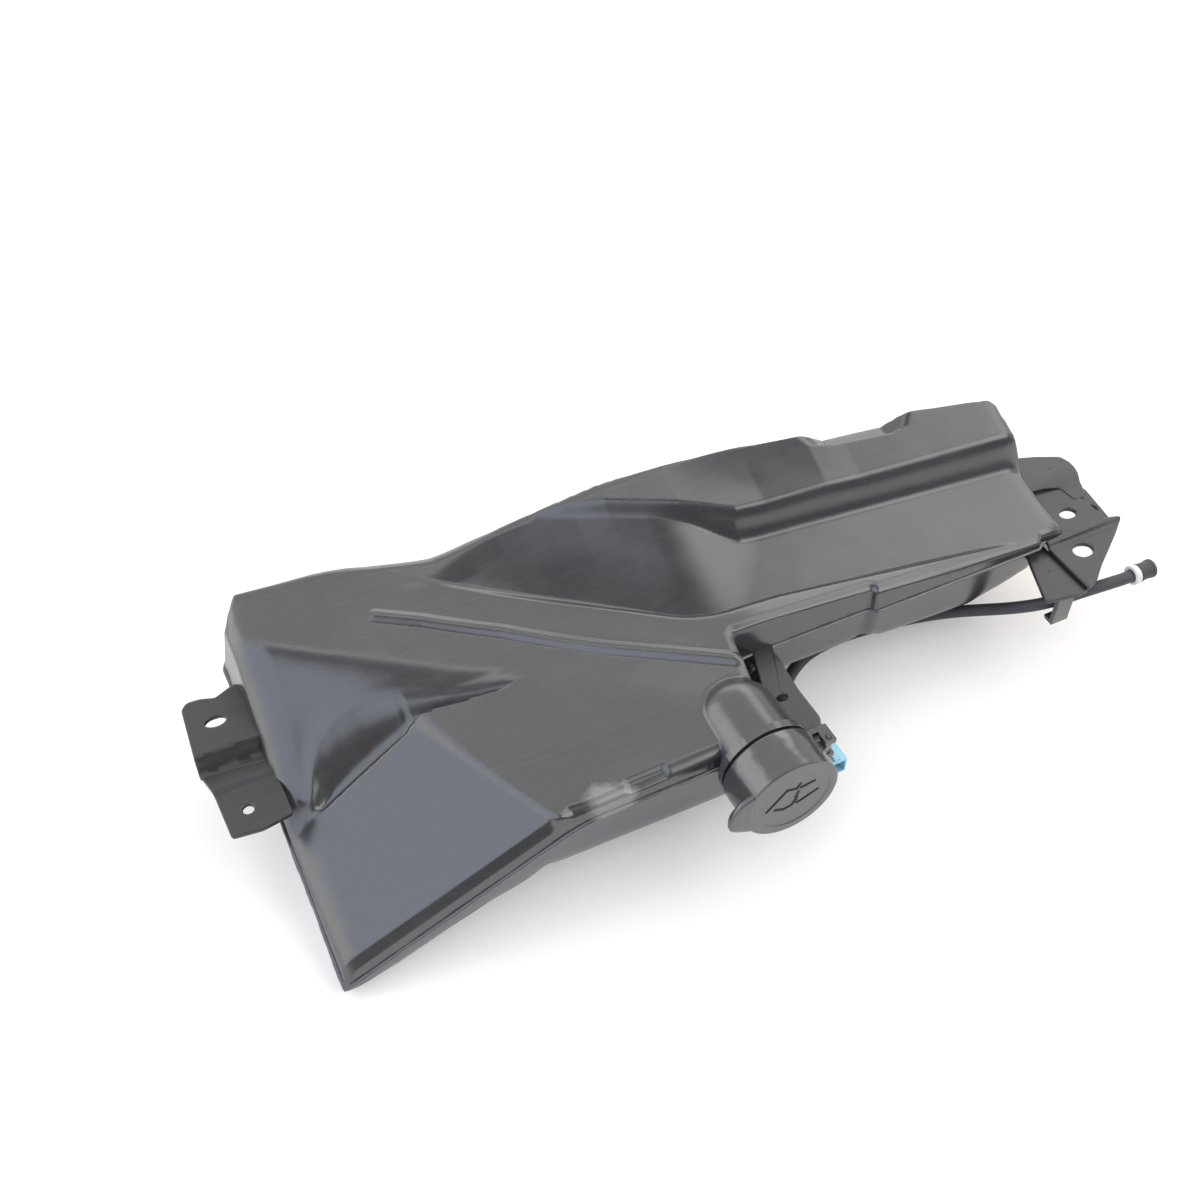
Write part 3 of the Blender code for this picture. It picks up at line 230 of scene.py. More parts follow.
# Extruded rubber is matt and greyed by handling dust, so its highlight is wide and soft.
hose_rubber = rubber_material("extruded_rubber", "#2f2f31", "#4a4a4c", 0.58, 1.2)
route = smooth_line(HOSE_ROUTE, 3) + DATUM
hose_line = bpy.data.curves.new("washer_hose", "CURVE")
hose_line.dimensions = "3D"
hose_line.bevel_depth = HOSE_RADIUS
hose_line.bevel_resolution = 6
hose_line.use_fill_caps = True
spline = hose_line.splines.new("POLY")
spline.points.add(len(route) - 1)
spline.points.foreach_set("co", np.column_stack([route, np.ones(len(route))]).ravel())
hose_line.materials.append(hose_rubber)
hose = bpy.data.objects.new("washer_hose", hose_line)
bpy.context.scene.collection.objects.link(hose)
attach(hose, "tank_body")
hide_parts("hose")


# The coupling at the hose's free end: a moulded rubber sleeve held by a white plastic band,
# both turned round the hose.
def turned(profile, origin, axis, steps):
    """A surface of revolution: radius and height pairs carried round the axis in whole turns."""
    radius, height = np.array(profile).T
    turn = math.tau * np.arange(steps) / steps
    frame_of_axis = np.array(Vector((0, 0, 1)).rotation_difference(Vector(axis)).to_matrix())
    local = np.stack([radius[:, None] * np.cos(turn), radius[:, None] * np.sin(turn),
                      height[:, None] + 0 * turn], axis=-1)
    return local @ frame_of_axis.T + np.array(origin) + DATUM, turn


def turned_piece(name, profile, origin, axis, material, steps=96, closed=False, smooth=40):
    """A turned piece whose seam and poles are merged, with its faces pointing outwards."""
    surface, _ = turned(profile, origin, axis, steps)
    faces = grid_faces(len(profile), steps, closed, True)
    piece = mesh_piece(name, surface.reshape(-1, 3), faces, material, smooth)
    close_mesh(piece.data, smooth)
    return piece


def close_mesh(mesh, smooth):
    """Merges seams and poles, points the faces outwards and marks the sharp edges."""
    work = bmesh.new()
    work.from_mesh(mesh)
    bmesh.ops.remove_doubles(work, verts=work.verts, dist=0.000004)
    bmesh.ops.dissolve_degenerate(work, edges=work.edges, dist=0.000001)
    bmesh.ops.recalc_face_normals(work, faces=work.faces)
    work.to_mesh(mesh)
    work.free()
    mesh.shade_smooth()
    mesh.set_sharp_from_angle(angle=math.radians(smooth))


def rounded(corners, radius, steps=4):
    """A profile or outline whose corners are rounded by quarter curves of the given radius."""
    points = np.array(corners, dtype=float)
    before, after = np.roll(points, 1, axis=0), np.roll(points, -1, axis=0)
    reach_back = np.linalg.norm(before - points, axis=1)
    reach_on = np.linalg.norm(after - points, axis=1)
    size = np.minimum(radius, 0.45 * np.minimum(reach_back, reach_on))[:, None]
    start = points + (before - points) / reach_back[:, None] * size
    stop = points + (after - points) / reach_on[:, None] * size
    t = np.linspace(0, 1, steps + 1)[None, :, None]
    curve = (start[:, None] * (1 - t) ** 2 + 2 * points[:, None] * t * (1 - t)
             + stop[:, None] * t ** 2)
    return curve.reshape(-1, 2)


end = HOSE_ROUTE[-1]
sleeve_profile = rounded(((0.0034, 0.0005), (0.0062, 0.0005), (0.0062, 0.0022), (0.0057, 0.0030),
                          (0.0057, 0.0090), (0.0062, 0.0098), (0.0062, 0.0121), (0.0036, 0.0121)),
                         0.0006, 3)
sleeve = turned_piece("coupling_sleeve", sleeve_profile, end, (1, 0, 0), hose_rubber, 64, True)
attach(sleeve, "tank_body")
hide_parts("hose_sleeve")

band_white, tree = new_material("moulded_white_nylon")
# Moulded nylon: a warm white with a soft highlight and a little grime in its pores.
place = add_node(tree, "ShaderNodeTexCoord").outputs["Object"]
darkening = add_node(tree, "ShaderNodeTexNoise", {"Vector": place, "Scale": 260.0, "Detail": 4.0})
colour = add_node(tree, "ShaderNodeMix", {0: darkening.outputs["Fac"], 6: linear("#f1f1ee"),
                                          7: linear("#c9c9c4")}, data_type="RGBA")
shader = add_node(tree, "ShaderNodeBsdfPrincipled", {"Base Color": colour.outputs[2],
                                                     "Roughness": 0.45, "IOR": 1.53})
add_node(tree, "ShaderNodeOutputMaterial", {"Surface": shader.outputs[0]})
band_profile = rounded(((0.0042, -0.0041), (0.0063, -0.0041), (0.0066, -0.0034), (0.0066, -0.0007),
                        (0.0063, 0.0), (0.0042, 0.0)), 0.0005, 3)
band = turned_piece("coupling_band", band_profile, end, (1, 0, 0), band_white, 64, True)
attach(band, "tank_body")
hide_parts("hose_band")


# The tank: one blow moulding in black high-density polyethylene, 3.5 mm thick. Two mould halves
# meet at the parting line, where the pinched plastic leaves a thin flash.
SEAM = 0.0750
FLASH_HALF = 0.0008
WALL_STEEPNESS = 6.0
SECTIONS = np.array((
    # front x, front y, far x, far y
    (-0.2510, 0.0350, -0.2505, 0.2260), (-0.2380, 0.0350, -0.2370, 0.2460),
    (-0.1770, 0.0350, -0.1770, 0.2440),
    (-0.1190, 0.0350, -0.1190, 0.2300), (-0.0400, 0.0350, -0.0780, 0.2320),
    (0.0120, 0.0350, -0.0420, 0.2310), (0.0215, 0.0990, 0.0020, 0.2290),
    (0.0760, 0.0990, 0.0760, 0.2190), (0.1140, 0.0990, 0.1220, 0.2090),
    (0.1170, 0.0955, 0.1260, 0.2085), (0.1950, 0.0955, 0.1950, 0.2000),
    (0.2400, 0.0955, 0.2400, 0.1906), (0.2440, 0.0990, 0.2440, 0.1898),
    (0.2540, 0.0990, 0.2540, 0.1870), (0.2620, 0.0990, 0.2620, 0.1790)))


def softened(rows):
    """Rows six times as close, whose far line is the mean of the chain over up to 14 mm either
    side, less towards the two end corners, so its inner corners are round."""
    fine = np.linspace(0, len(rows) - 1, 6 * len(rows) - 5)
    made = np.column_stack([np.interp(fine, np.arange(len(rows)), column) for column in rows.T])
    far = made[:, 2]
    reach = np.clip(np.minimum(far - rows[1, 2], rows[-2, 2] - far), 0.0, 0.014)
    near_by = far[:, None] + reach[:, None] * np.linspace(-1, 1, 15)
    made[:, 3] = np.interp(near_by, rows[:, 2], rows[:, 3]).mean(axis=1)
    return made


SECTIONS = softened(SECTIONS)
FAR_STATIONS = np.array((-0.251, -0.212, -0.177, -0.119, -0.078, -0.011, 0.052, 0.122, 0.262))
FAR_HEIGHTS = np.array((0.107, 0.114, 0.113, 0.109, 0.114, 0.127, 0.132, 0.1336, 0.1336))
FAR_EDGE = np.array((0.240, 0.240, 0.233, 0.219, 0.220, 0.216, 0.214, 0.200, 0.182))
ARCH_STATIONS = np.array((-0.251, -0.235, -0.220, -0.189, -0.159, -0.124, -0.022, 0.020, 0.060,
                          0.122, 0.199, 0.221, 0.237, 0.262))
ARCH_HEIGHTS = np.array((0.003, 0.003, 0.008, 0.021, 0.030, 0.036, 0.034, 0.036, 0.042,
                         0.042, 0.037, 0.045, 0.054, 0.062))
BEAD = ((-0.1640, 0.1980), (-0.1400, 0.1860), (-0.1000, 0.1620), (-0.0530, 0.1280),
        (-0.0150, 0.1035), (0.0210, 0.0800))
BEAD_HEIGHT = 0.0016
BEAD_HALF_WIDTH = 0.0034
# The clip's recess in the front edge: its middle, half its size in plan, and its depth.
CLIP_MIDDLE = (-0.0680, 0.0400)
CLIP_HALF = (0.0120, 0.0030)
CLIP_DEPTH = 0.0018
# The hollow above the corner panel lies between a near rim and a ridge, by X.
RIM_X = np.array((-0.2510, -0.2326, -0.1725, -0.1700, -0.1088))
RIM_Y = np.array((0.1120, 0.1182, 0.1281, 0.1302, 0.1269))
RIDGE_X = np.array((-0.2410, -0.2350, -0.2263, -0.2192, -0.2077, -0.1931, -0.1800, -0.1679,
                    -0.1506, -0.1254, -0.1088))
RIDGE_Y = np.array((0.1150, 0.1225, 0.1380, 0.1459, 0.1509, 0.1525, 0.1515, 0.1490, 0.1425, 0.1325,
                    0.1269))


def smooth_min(first, second, width):
    """The lower of two surfaces, with the crease between them rounded over a height of width."""
    mix = np.clip(0.5 + 0.5 * (second - first) / width, 0.0, 1.0)
    return second + (first - second) * mix - width * mix * (1.0 - mix)


def smooth_max(first, second, width):
    """The higher of two surfaces, rounded in the same way."""
    return -smooth_min(-first, -second, width)


def distance_to_line(x, y, points, closed=False):
    """Plan distance to the nearest of a chain's segments, found by clamped projection."""
    start = np.array(points)[:, :2]
    end = np.roll(start, -1, axis=0)
    if not closed:
        start, end = start[:-1], end[:-1]
    nearest = np.full(x.shape, np.inf)
    for (ax, ay), (bx, by) in zip(start, end):
        length = (bx - ax) ** 2 + (by - ay) ** 2
        share = np.clip(((x - ax) * (bx - ax) + (y - ay) * (by - ay)) / length, 0.0, 1.0)
        nearest = np.minimum(nearest, np.hypot(x - ax - share * (bx - ax), y - ay - share * (by - ay)))
    return nearest


OUTLINE = np.vstack([SECTIONS[:, :2], SECTIONS[::-1, 2:]])


def inset(x, y):
    """Plan distance from the parting line, positive inside the tank by the crossing rule."""
    inside = np.zeros(x.shape, dtype=bool)
    for (ax, ay), (bx, by) in zip(OUTLINE, np.roll(OUTLINE, -1, axis=0)):
        if ay != by:
            inside ^= ((ay > y) != (by > y)) & (x < ax + (y - ay) * (bx - ax) / (by - ay))
    distance = distance_to_line(x, y, OUTLINE, closed=True)
    return np.where(inside, distance, -distance)


def seam_height(x, y):
    """Level, and falling as a plane towards the near left corner."""
    corner = 0.010 + 0.457 * (x + 0.251) + 0.3275 * (y - 0.035)
    return smooth_min(np.full_like(x, SEAM), corner, 0.006)


def left_shoulder(x, y):
    """The inclined plane at the left end's far side."""
    return 0.098 + 0.20 * (y - 0.160) - 0.05 * (x + 0.162)


def neck_panel(across):
    """The panel beside the neck, which rises with the distance across the tank."""
    return 0.086 + 0.0476 * across


def front_slope(x, y):
    """Planes for the panel beside the neck, the slope above it and the left shoulder, cut
    along the pocket's near rim by a falling bank."""
    across = 0.57 * x + 0.82 * y
    slope = 0.088 + 0.21 * (across - 0.043)
    surface = smooth_max(smooth_max(neck_panel(across), slope, 0.002), left_shoulder(x, y), 0.008)
    surface = smooth_min(surface, 0.1015 - 0.085 * x, 0.006)
    rim_right = y - (0.1185 - 0.09 * np.maximum(0.0, x - 0.060))
    past_rim = smooth_min(across - 0.102, rim_right, 0.012)
    return surface - 1.6 * smooth_max(np.zeros_like(x), past_rim, 0.0045)


def far_block(x, y):
    """The high far side with its end notch, and the long pocket cut into its front."""
    floor = 0.0397 + 0.34 * y + 0.034 * x
    wide_wall = 0.1139 + 0.20 * (x + 0.0755) + 0.56 * (y - 0.2175)
    along_tip = 0.965 * (x + 0.1147) + 0.263 * (y - 0.2068)
    into_tip = 0.263 * (x + 0.1147) - 0.965 * (y - 0.2068)
    tip_wall = 0.1060 + 0.20 * along_tip - 0.9 * into_tip
    turning_wall = floor + 0.35 * (0.6 * (y - 0.130) - 0.8 * (x - 0.028))
    bank = 0.098 + 2.7 * (y - (0.166 - 0.1 * (x - 0.055))) - 0.9 * np.maximum(0.0, 0.060 - x)
    pocket = smooth_max(floor, smooth_min(wide_wall, turning_wall, 0.008), 0.006)
    pocket = smooth_max(smooth_max(pocket, bank, 0.008), tip_wall, 0.004)
    top = np.interp(x, FAR_STATIONS, FAR_HEIGHTS)
    fall = np.interp(x, (0.030, 0.080, 0.145), (0.30, 0.42, 0.50))
    block = top - fall * np.maximum(0.0, np.interp(x, FAR_STATIONS, FAR_EDGE) - y)
    notch = 0.1240 + 0.6 * np.maximum(0.0, np.abs(x - 0.157) - 0.020)
    notch = notch + 2.5 * np.maximum(0.0, 0.1905 - 0.16 * (x - 0.137) - y)
    crease = np.interp(x, (-0.10, -0.03, 0.05), (0.005, 0.010, 0.007))
    return smooth_min(pocket, smooth_min(block, notch, 0.003), crease)


def pocket_slope(x, y):
    """The shoulder's plane less a fall that flattens with distance below the pocket's rim, sinking
    further towards the point where it meets the corner panel."""
    below = -0.489 * (x + 0.1644) - 0.872 * (y - 0.1574)
    fall = 0.60 * below - 2.3 * np.maximum(below, 0.0) ** 2
    near = np.minimum(np.hypot(x + 0.2360, y - 0.1150) / 0.055, 1.0)
    sunk = 0.0100 * (1 - near) ** 2 * (1 + 2 * near)
    return left_shoulder(x, y) - fall - sunk


def corner_panel(x, y):
    """The inclined panel at the near left corner."""
    return 0.0850 + 0.4583 * (x + 0.1684) + 0.2656 * (y - 0.1294)


def corner_chamfer(x, y):
    """The chamfer that climbs from that panel to the one beside it."""
    return corner_panel(x, y) + 0.9 * (0.8997 * (x + 0.1689) + 0.4366 * (y - 0.1293))


def left_corner(x, y):
    """The corner panel with its chamfer, and the sloping pocket above it. Between them a hollow
    falls from the rim and climbs to a ridge. At the left end the rim fades into the panel."""
    near = smooth_max(corner_panel(x, y), corner_chamfer(x, y), 0.0008)
    rim = np.interp(x, RIM_X, RIM_Y)
    ridge = np.interp(x, RIDGE_X, RIDGE_Y)
    width = np.maximum(ridge - rim, 0.0005)
    up = np.clip((y - rim) / width, 0.0, 1.0)
    rim_corner = np.maximum(corner_panel(x, rim), corner_chamfer(x, rim))
    rim_height = np.minimum(rim_corner, neck_panel(0.57 * x + 0.82 * rim))
    crest = 0.0020 * np.minimum(width / 0.012, 1.0)
    ridge_height = pocket_slope(x, ridge) + crest
    depth = np.minimum(0.0060, 0.26 * width)
    hollow = rim_height + (ridge_height - rim_height) * up ** 1.2 - depth * 12.2 * up * (1 - up) ** 4
    above = pocket_slope(x, y) + crest * np.exp(-((np.maximum(y - ridge, 0.0) / 0.0070) ** 2))
    beyond = np.where(y < ridge, hollow, above)
    fade = np.interp(x, (-0.2400, -0.2280), (0.0160, 0.0003))
    share = np.clip((y - rim) / fade, 0.0, 1.0)
    return near + (beyond - near) * share * share * (3.0 - 2.0 * share)


NECK_RADIUS = 0.0250
NECK_DOME_Y = 0.0580


def neck_crown(x, y):
    """The round-ended neck seen from above: half a capsule along Y, sunk 0.15 mm."""
    radius = NECK_RADIUS - 0.00015
    out = radius ** 2 - x ** 2 - np.maximum(0.0, y - NECK_DOME_Y) ** 2
    return np.where(out > 0, SEAM + np.sqrt(np.maximum(out, 0.0)), -0.1)


def edge_drop(distance, width, depth):
    """How far a quarter-ellipse edge, so wide and so deep, has fallen at a distance from the wall."""
    inward = np.clip(1.0 - distance / width, 0.0, 1.0)
    return depth * (1.0 - np.sqrt(1.0 - inward ** 2))


LEFT_SIDE = ((-0.2510, 0.0350), (-0.2505, 0.2260))
FAR_SIDE = SECTIONS[:, 2:]
RIGHT_SIDE = ((0.2620, 0.0990), (0.2620, 0.1790))


def upper_surface(x, y):
    """Top of the upper mould half: the planes joined, a clip's recess at the front edge, the bead,
    the neck's fillet, and walls whose upper edges are rounded, widely at both ends and less along
    the far side and the front."""
    surface = smooth_max(front_slope(x, y), far_block(x, y), 0.0015)
    soft = np.interp(y - np.interp(x, RIM_X, RIM_Y), (0.0, 0.012), (0.0012, 0.0065))
    surface = smooth_min(surface, left_corner(x, y), soft)
    outside_clip = np.maximum(np.abs(x - CLIP_MIDDLE[0]) - CLIP_HALF[0],
                              np.abs(y - CLIP_MIDDLE[1]) - CLIP_HALF[1])
    surface = surface - CLIP_DEPTH * np.clip(0.5 - outside_clip / 0.0015, 0.0, 1.0)
    bead = distance_to_line(x, y, BEAD)
    surface = surface + BEAD_HEIGHT * np.exp(-((bead / BEAD_HALF_WIDTH) ** 4))
    surface = smooth_max(surface, neck_crown(x, y), 0.003)
    seam = seam_height(x, y) + FLASH_HALF
    high = 0.85 * np.maximum(surface - seam, 0.001)
    from_front = distance_to_line(x, y, SECTIONS[:, :2])
    bevel = 0.0060 * np.interp(x, (-0.126, -0.114), (1.0, 0.0))
    front_round = np.minimum(np.interp(x, (-0.126, -0.114), (0.0010, 0.0090)), high)
    surface = surface - np.minimum(1.1 * np.maximum(0.0, bevel - from_front), high)
    left_round = np.interp(y, (0.035, 0.120, 0.190), (0.012, 0.018, 0.024))
    for line, width in ((SECTIONS[:, :2], front_round), (LEFT_SIDE, left_round),
                        (FAR_SIDE, np.full_like(x, 0.0110)), (RIGHT_SIDE, np.full_like(x, 0.0170))):
        surface = surface - edge_drop(distance_to_line(x, y, line), width, np.minimum(width, high))
    wall = seam + WALL_STEEPNESS * np.maximum(0.0, inset(x, y))
    return np.maximum(smooth_min(surface, wall, 0.0015), seam)


def lower_surface(x, y):
    """Bottom of the lower half: flat where it rests, arched along the front, with two ribs."""
    arch = np.interp(x, ARCH_STATIONS, ARCH_HEIGHTS)
    from_front = distance_to_line(x, y, SECTIONS)
    surface = smooth_max(arch - 0.72 * np.maximum(0.0, from_front - 0.006), np.zeros_like(x), 0.004)
    for rib_x in (-0.130, 0.120):
        surface = surface + 0.005 * np.exp(-(((x - rib_x) / 0.007) ** 2))
    seam = seam_height(x, y) - FLASH_HALF
    wall = seam - WALL_STEEPNESS * np.maximum(0.0, inset(x, y))
    rounding = np.clip(0.30 * (seam - surface), 0.0015, 0.010)
    return np.minimum(smooth_max(surface, wall, rounding), seam)


def plan_grid(step, edge_steps, across_steps):
    """Plan points as a ruled grid from the front line to the far line, denser at all four edges."""
    spans = np.maximum(np.linalg.norm(np.diff(SECTIONS[:, :2], axis=0), axis=1),
                       np.linalg.norm(np.diff(SECTIONS[:, 2:], axis=0), axis=1))
    station = np.concatenate([[0.0], np.cumsum(spans)])
    edge = 0.012 * (np.arange(edge_steps) / edge_steps) ** 1.3
    middle = np.arange(0.012, station[-1] - 0.012, step)
    along = np.concatenate([edge, middle, station[-1] - edge[::-1]])
    lines = np.column_stack([np.interp(along, station, SECTIONS[:, k]) for k in range(4)])
    brink = 0.075 * (np.arange(edge_steps) / edge_steps) ** 1.3
    across = np.concatenate([brink, np.linspace(0.075, 0.925, across_steps), 1.0 - brink[::-1]])
    front, far = lines[:, None, :2], lines[:, None, 2:]
    plan = front * (1 - across[None, :, None]) + far * across[None, :, None]
    return plan[..., 0], plan[..., 1]


def moulded_material(name, base, worn, roughness, wave_mm, drawn, mark=None, scuff=None,
                     shine=1.0):
    """Black plastic as it leaves the mould: broad ripples, a fine blasted grain, patches that are
    duller, and streaks along X, as strong as drawn. Shine is how much the surface mirrors. A mark
    is an attribute that turns the colour near black and lowers the shine where it is 1, and a scuff
    is the middle of a patch that rubbing has turned pale."""
    grain_mm = 1.1
    made, tree = new_material(name)
    place = add_node(tree, "ShaderNodeTexCoord").outputs["Object"]
    patches = add_node(tree, "ShaderNodeTexNoise", {"Vector": place, "Scale": 22.0, "Detail": 6.0,
                                                    "Roughness": 0.6})
    along = add_node(tree, "ShaderNodeMapping", {"Vector": place, "Scale": (9.0, 420.0, 260.0)})
    streaks = add_node(tree, "ShaderNodeTexNoise", {"Vector": along.outputs[0], "Scale": 1.0,
                                                    "Detail": 4.0, "Roughness": 0.75})
    drawing = add_node(tree, "ShaderNodeMapRange", {"Value": streaks.outputs["Fac"],
                                                    "From Min": 0.42, "From Max": 0.72,
                                                    "To Max": drawn})
    hair = add_node(tree, "ShaderNodeMapRange", {"Value": streaks.outputs["Fac"],
                                                 "From Min": 0.33, "From Max": 0.27,
                                                 "To Max": drawn})
    colour = add_node(tree, "ShaderNodeMix", {0: patches.outputs["Fac"], 6: linear(base),
                                              7: linear(worn)}, data_type="RGBA")
    colour = add_node(tree, "ShaderNodeMix", {0: drawing.outputs[0], 6: colour.outputs[2],
                                              7: linear("#5c5c60")}, data_type="RGBA")
    colour = add_node(tree, "ShaderNodeMix", {0: hair.outputs[0], 6: colour.outputs[2],
                                              7: linear("#17171a")}, data_type="RGBA")
    if mark:
        # Where the mark is 1 the colour goes near black and the shine drops.
        darkening = add_node(tree, "ShaderNodeAttribute", attribute_name=mark)
        colour = add_node(tree, "ShaderNodeMix", {0: darkening.outputs["Fac"], 6: colour.outputs[2],
                                                  7: linear("#0c0c0d")}, data_type="RGBA")
        shine = add_node(tree, "ShaderNodeMapRange", {"Value": darkening.outputs["Fac"],
                                                      "To Min": shine, "To Max": 0.2}).outputs[0]
    if scuff:
        away = add_node(tree, "ShaderNodeVectorMath", {0: place, 1: scuff}, operation="DISTANCE")
        uneven = add_node(tree, "ShaderNodeMath", {0: away.outputs["Value"], 1: 30.0,
                                                   2: patches.outputs["Fac"]},
                          operation="MULTIPLY_ADD")
        rubbed = add_node(tree, "ShaderNodeMapRange", {"Value": uneven.outputs[0], "From Min": 0.95,
                                                       "From Max": 0.80, "To Max": 0.6})
        colour = add_node(tree, "ShaderNodeMix", {0: rubbed.outputs[0], 6: colour.outputs[2],
                                                  7: linear("#8f8d88")}, data_type="RGBA")
    rough = add_node(tree, "ShaderNodeMapRange", {"Value": patches.outputs["Fac"],
                                                  "From Min": 0.3, "From Max": 0.7,
                                                  "To Min": roughness - 0.04,
                                                  "To Max": roughness + 0.05})
    grain = add_node(tree, "ShaderNodeTexNoise", {"Vector": place, "Scale": 1000.0 / grain_mm,
                                                  "Detail": 2.0})
    ripple = add_node(tree, "ShaderNodeTexNoise", {"Vector": place, "Scale": 1000.0 / wave_mm,
                                                   "Detail": 1.0})
    broad = add_node(tree, "ShaderNodeBump", {"Height": ripple.outputs["Fac"], "Strength": 0.4,
                                              "Distance": 0.0008})
    drag = add_node(tree, "ShaderNodeBump", {"Height": streaks.outputs["Fac"], "Strength": drawn,
                                             "Distance": 0.0001, "Normal": broad.outputs[0]})
    fine = add_node(tree, "ShaderNodeBump", {"Height": grain.outputs["Fac"], "Strength": 0.16,
                                             "Distance": 0.0001, "Normal": drag.outputs[0]})
    shader = add_node(tree, "ShaderNodeBsdfPrincipled", {
        "Base Color": colour.outputs[2], "Roughness": rough.outputs[0], "IOR": 1.54,
        "Specular IOR Level": shine, "Normal": fine.outputs[0]})
    add_node(tree, "ShaderNodeOutputMaterial", {"Surface": shader.outputs[0]})
    return made


# Blow-moulded polyethylene: satin, slightly rippled, grey with fine dust and handling marks.
tank_plastic = moulded_material("blow_moulded_polyethylene", "#2b2b2e", "#333336", 0.22, 34.0, 0.12,
                                scuff=(-0.0985, -0.0870, 0.0805))


def tank_half(name, surface, step, edge_steps, across_steps):
    """One mould half as a height over the plan grid, with its faces turned outwards."""
    x, y = plan_grid(step, edge_steps, across_steps)
    points = np.stack([x, y, surface(x, y)], axis=-1) + DATUM
    faces = grid_faces(*x.shape)
    if surface is lower_surface:
        faces = faces[:, ::-1]
    half = mesh_piece(name, points.reshape(-1, 3), faces, tank_plastic, 70)
    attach(half, "tank_body")
    return half


upper_half = tank_half("tank_upper_half", upper_surface, 0.00125, 16, 130)
lower_half = tank_half("tank_lower_half", lower_surface, 0.0030, 10, 60)
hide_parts("tank")
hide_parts("tank")


# The flash: the thin fin of plastic squeezed out between the mould halves, trimmed by hand, so
# its edge wanders by two or three tenths of a millimetre.
def along_outline(step):
    """The parting line resampled at even steps, with its outward normal in plan."""
    closed = np.vstack([OUTLINE, OUTLINE[:1]])
    station = np.concatenate([[0.0], np.cumsum(np.linalg.norm(np.diff(closed, axis=0), axis=1))])
    along = np.arange(0.0, station[-1], step)
    line = np.column_stack([np.interp(along, station, closed[:, k]) for k in range(2)])
    run = np.roll(line, -2, axis=0) - np.roll(line, 2, axis=0)
    run /= np.linalg.norm(run, axis=1)[:, None]
    return along, line, np.column_stack([run[:, 1], -run[:, 0]])


def flash_strip():
    """A wedge profile carried round the parting line: 1.6 mm thick at its root, 0.7 at its edge."""
    along, line, outward = along_outline(0.0015)
    wander = (0.00012 * np.sin(along * 310.0) + 0.00018 * np.sin(along * 97.0 + 1.3)
              + 0.00006 * np.sin(along * 911.0 + 0.4))
    out = np.array((-0.0012, 0.0004, 0.0014, 0.0016, 0.0014, 0.0004, -0.0012))
    up = np.array((0.00085, 0.00078, 0.00050, 0.0, -0.00050, -0.00078, -0.00085))
    reach_out = out[None, :] + np.where(out > 0.001, 1.0, 0.0)[None, :] * wander[:, None]
    plan = line[:, None, :] + outward[:, None, :] * reach_out[..., None]
    rise = seam_height(line[:, 0], line[:, 1])[:, None] + up[None, :]
    return np.concatenate([plan, rise[..., None]], axis=-1) + DATUM


strip = flash_strip()
flash = mesh_piece("parting_flash", strip.reshape(-1, 3),
                   grid_faces(strip.shape[0], strip.shape[1], True, True), tank_plastic, 60)
close_mesh(flash.data, 60)
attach(flash, "tank_body")
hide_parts("tank")


# The filler neck: the same moulding drawn out into a round-ended cylinder that lies across the
# front edge, with a narrower mouth inside the cap.
MOUTH_RADIUS = 0.0230
NECK_BORE = 0.0205


def neck_surface():
    """A capsule profile turned about Y, with a low ridge on both sides at the parting line."""
    lift = np.linspace(math.pi / 2, 0.0, 25)
    dome = np.column_stack([NECK_RADIUS * np.cos(lift), NECK_DOME_Y + NECK_RADIUS * np.sin(lift)])
    shank = np.column_stack([np.full(16, NECK_RADIUS), np.linspace(NECK_DOME_Y, 0.0272, 17)[1:]])
    mouth = np.array(((NECK_RADIUS, 0.0262), (MOUTH_RADIUS, 0.0250), (MOUTH_RADIUS, 0.0060),
                      (0.0226, 0.0047), (0.0220, 0.0043), (0.0209, 0.0043), (NECK_BORE, 0.0049),
                      (NECK_BORE, 0.0300), (NECK_BORE, 0.0580)))
    profile = np.vstack([dome, shank, mouth])
    surface, turn = turned(profile, (0.0, 0.0, SEAM), (0, 1, 0), 160)
    side = np.minimum(np.abs(np.sin(turn)), 1.0)
    ridge = 0.00035 * np.exp(-((side / 0.03) ** 2))
    centre = np.array((0.0, 0.0, SEAM)) + DATUM
    radial = (surface - centre) * np.array((1.0, 0.0, 1.0))
    size = np.linalg.norm(radial, axis=-1, keepdims=True)
    outer = (profile[:, 0] > NECK_RADIUS - 0.0001)[:, None, None]
    return np.where(outer, surface + radial / np.maximum(size, 1e-9) * ridge[None, :, None], surface)


shell = neck_surface()
neck = mesh_piece("filler_neck", shell.reshape(-1, 3),
                  grid_faces(shell.shape[0], shell.shape[1], False, True), tank_plastic, 40)
close_mesh(neck.data, 40)
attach(neck, "tank_body")
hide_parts("tank")


# The brackets and the fin: flat tongues of the same plastic, squeezed solid between the mould
# halves outside the tank and pierced for the fixing screws. The squeezed faces are darker and
# less even than the blown wall, and they shine less.
BRACKET_THICKNESS = 0.0030
NO_HOLE = (0.00001, 0.00001)
pinched_plastic = moulded_material("pinched_polyethylene", "#1a1a1d", "#262629", 0.38, 21.0, 0.10,
                                   shine=0.68)


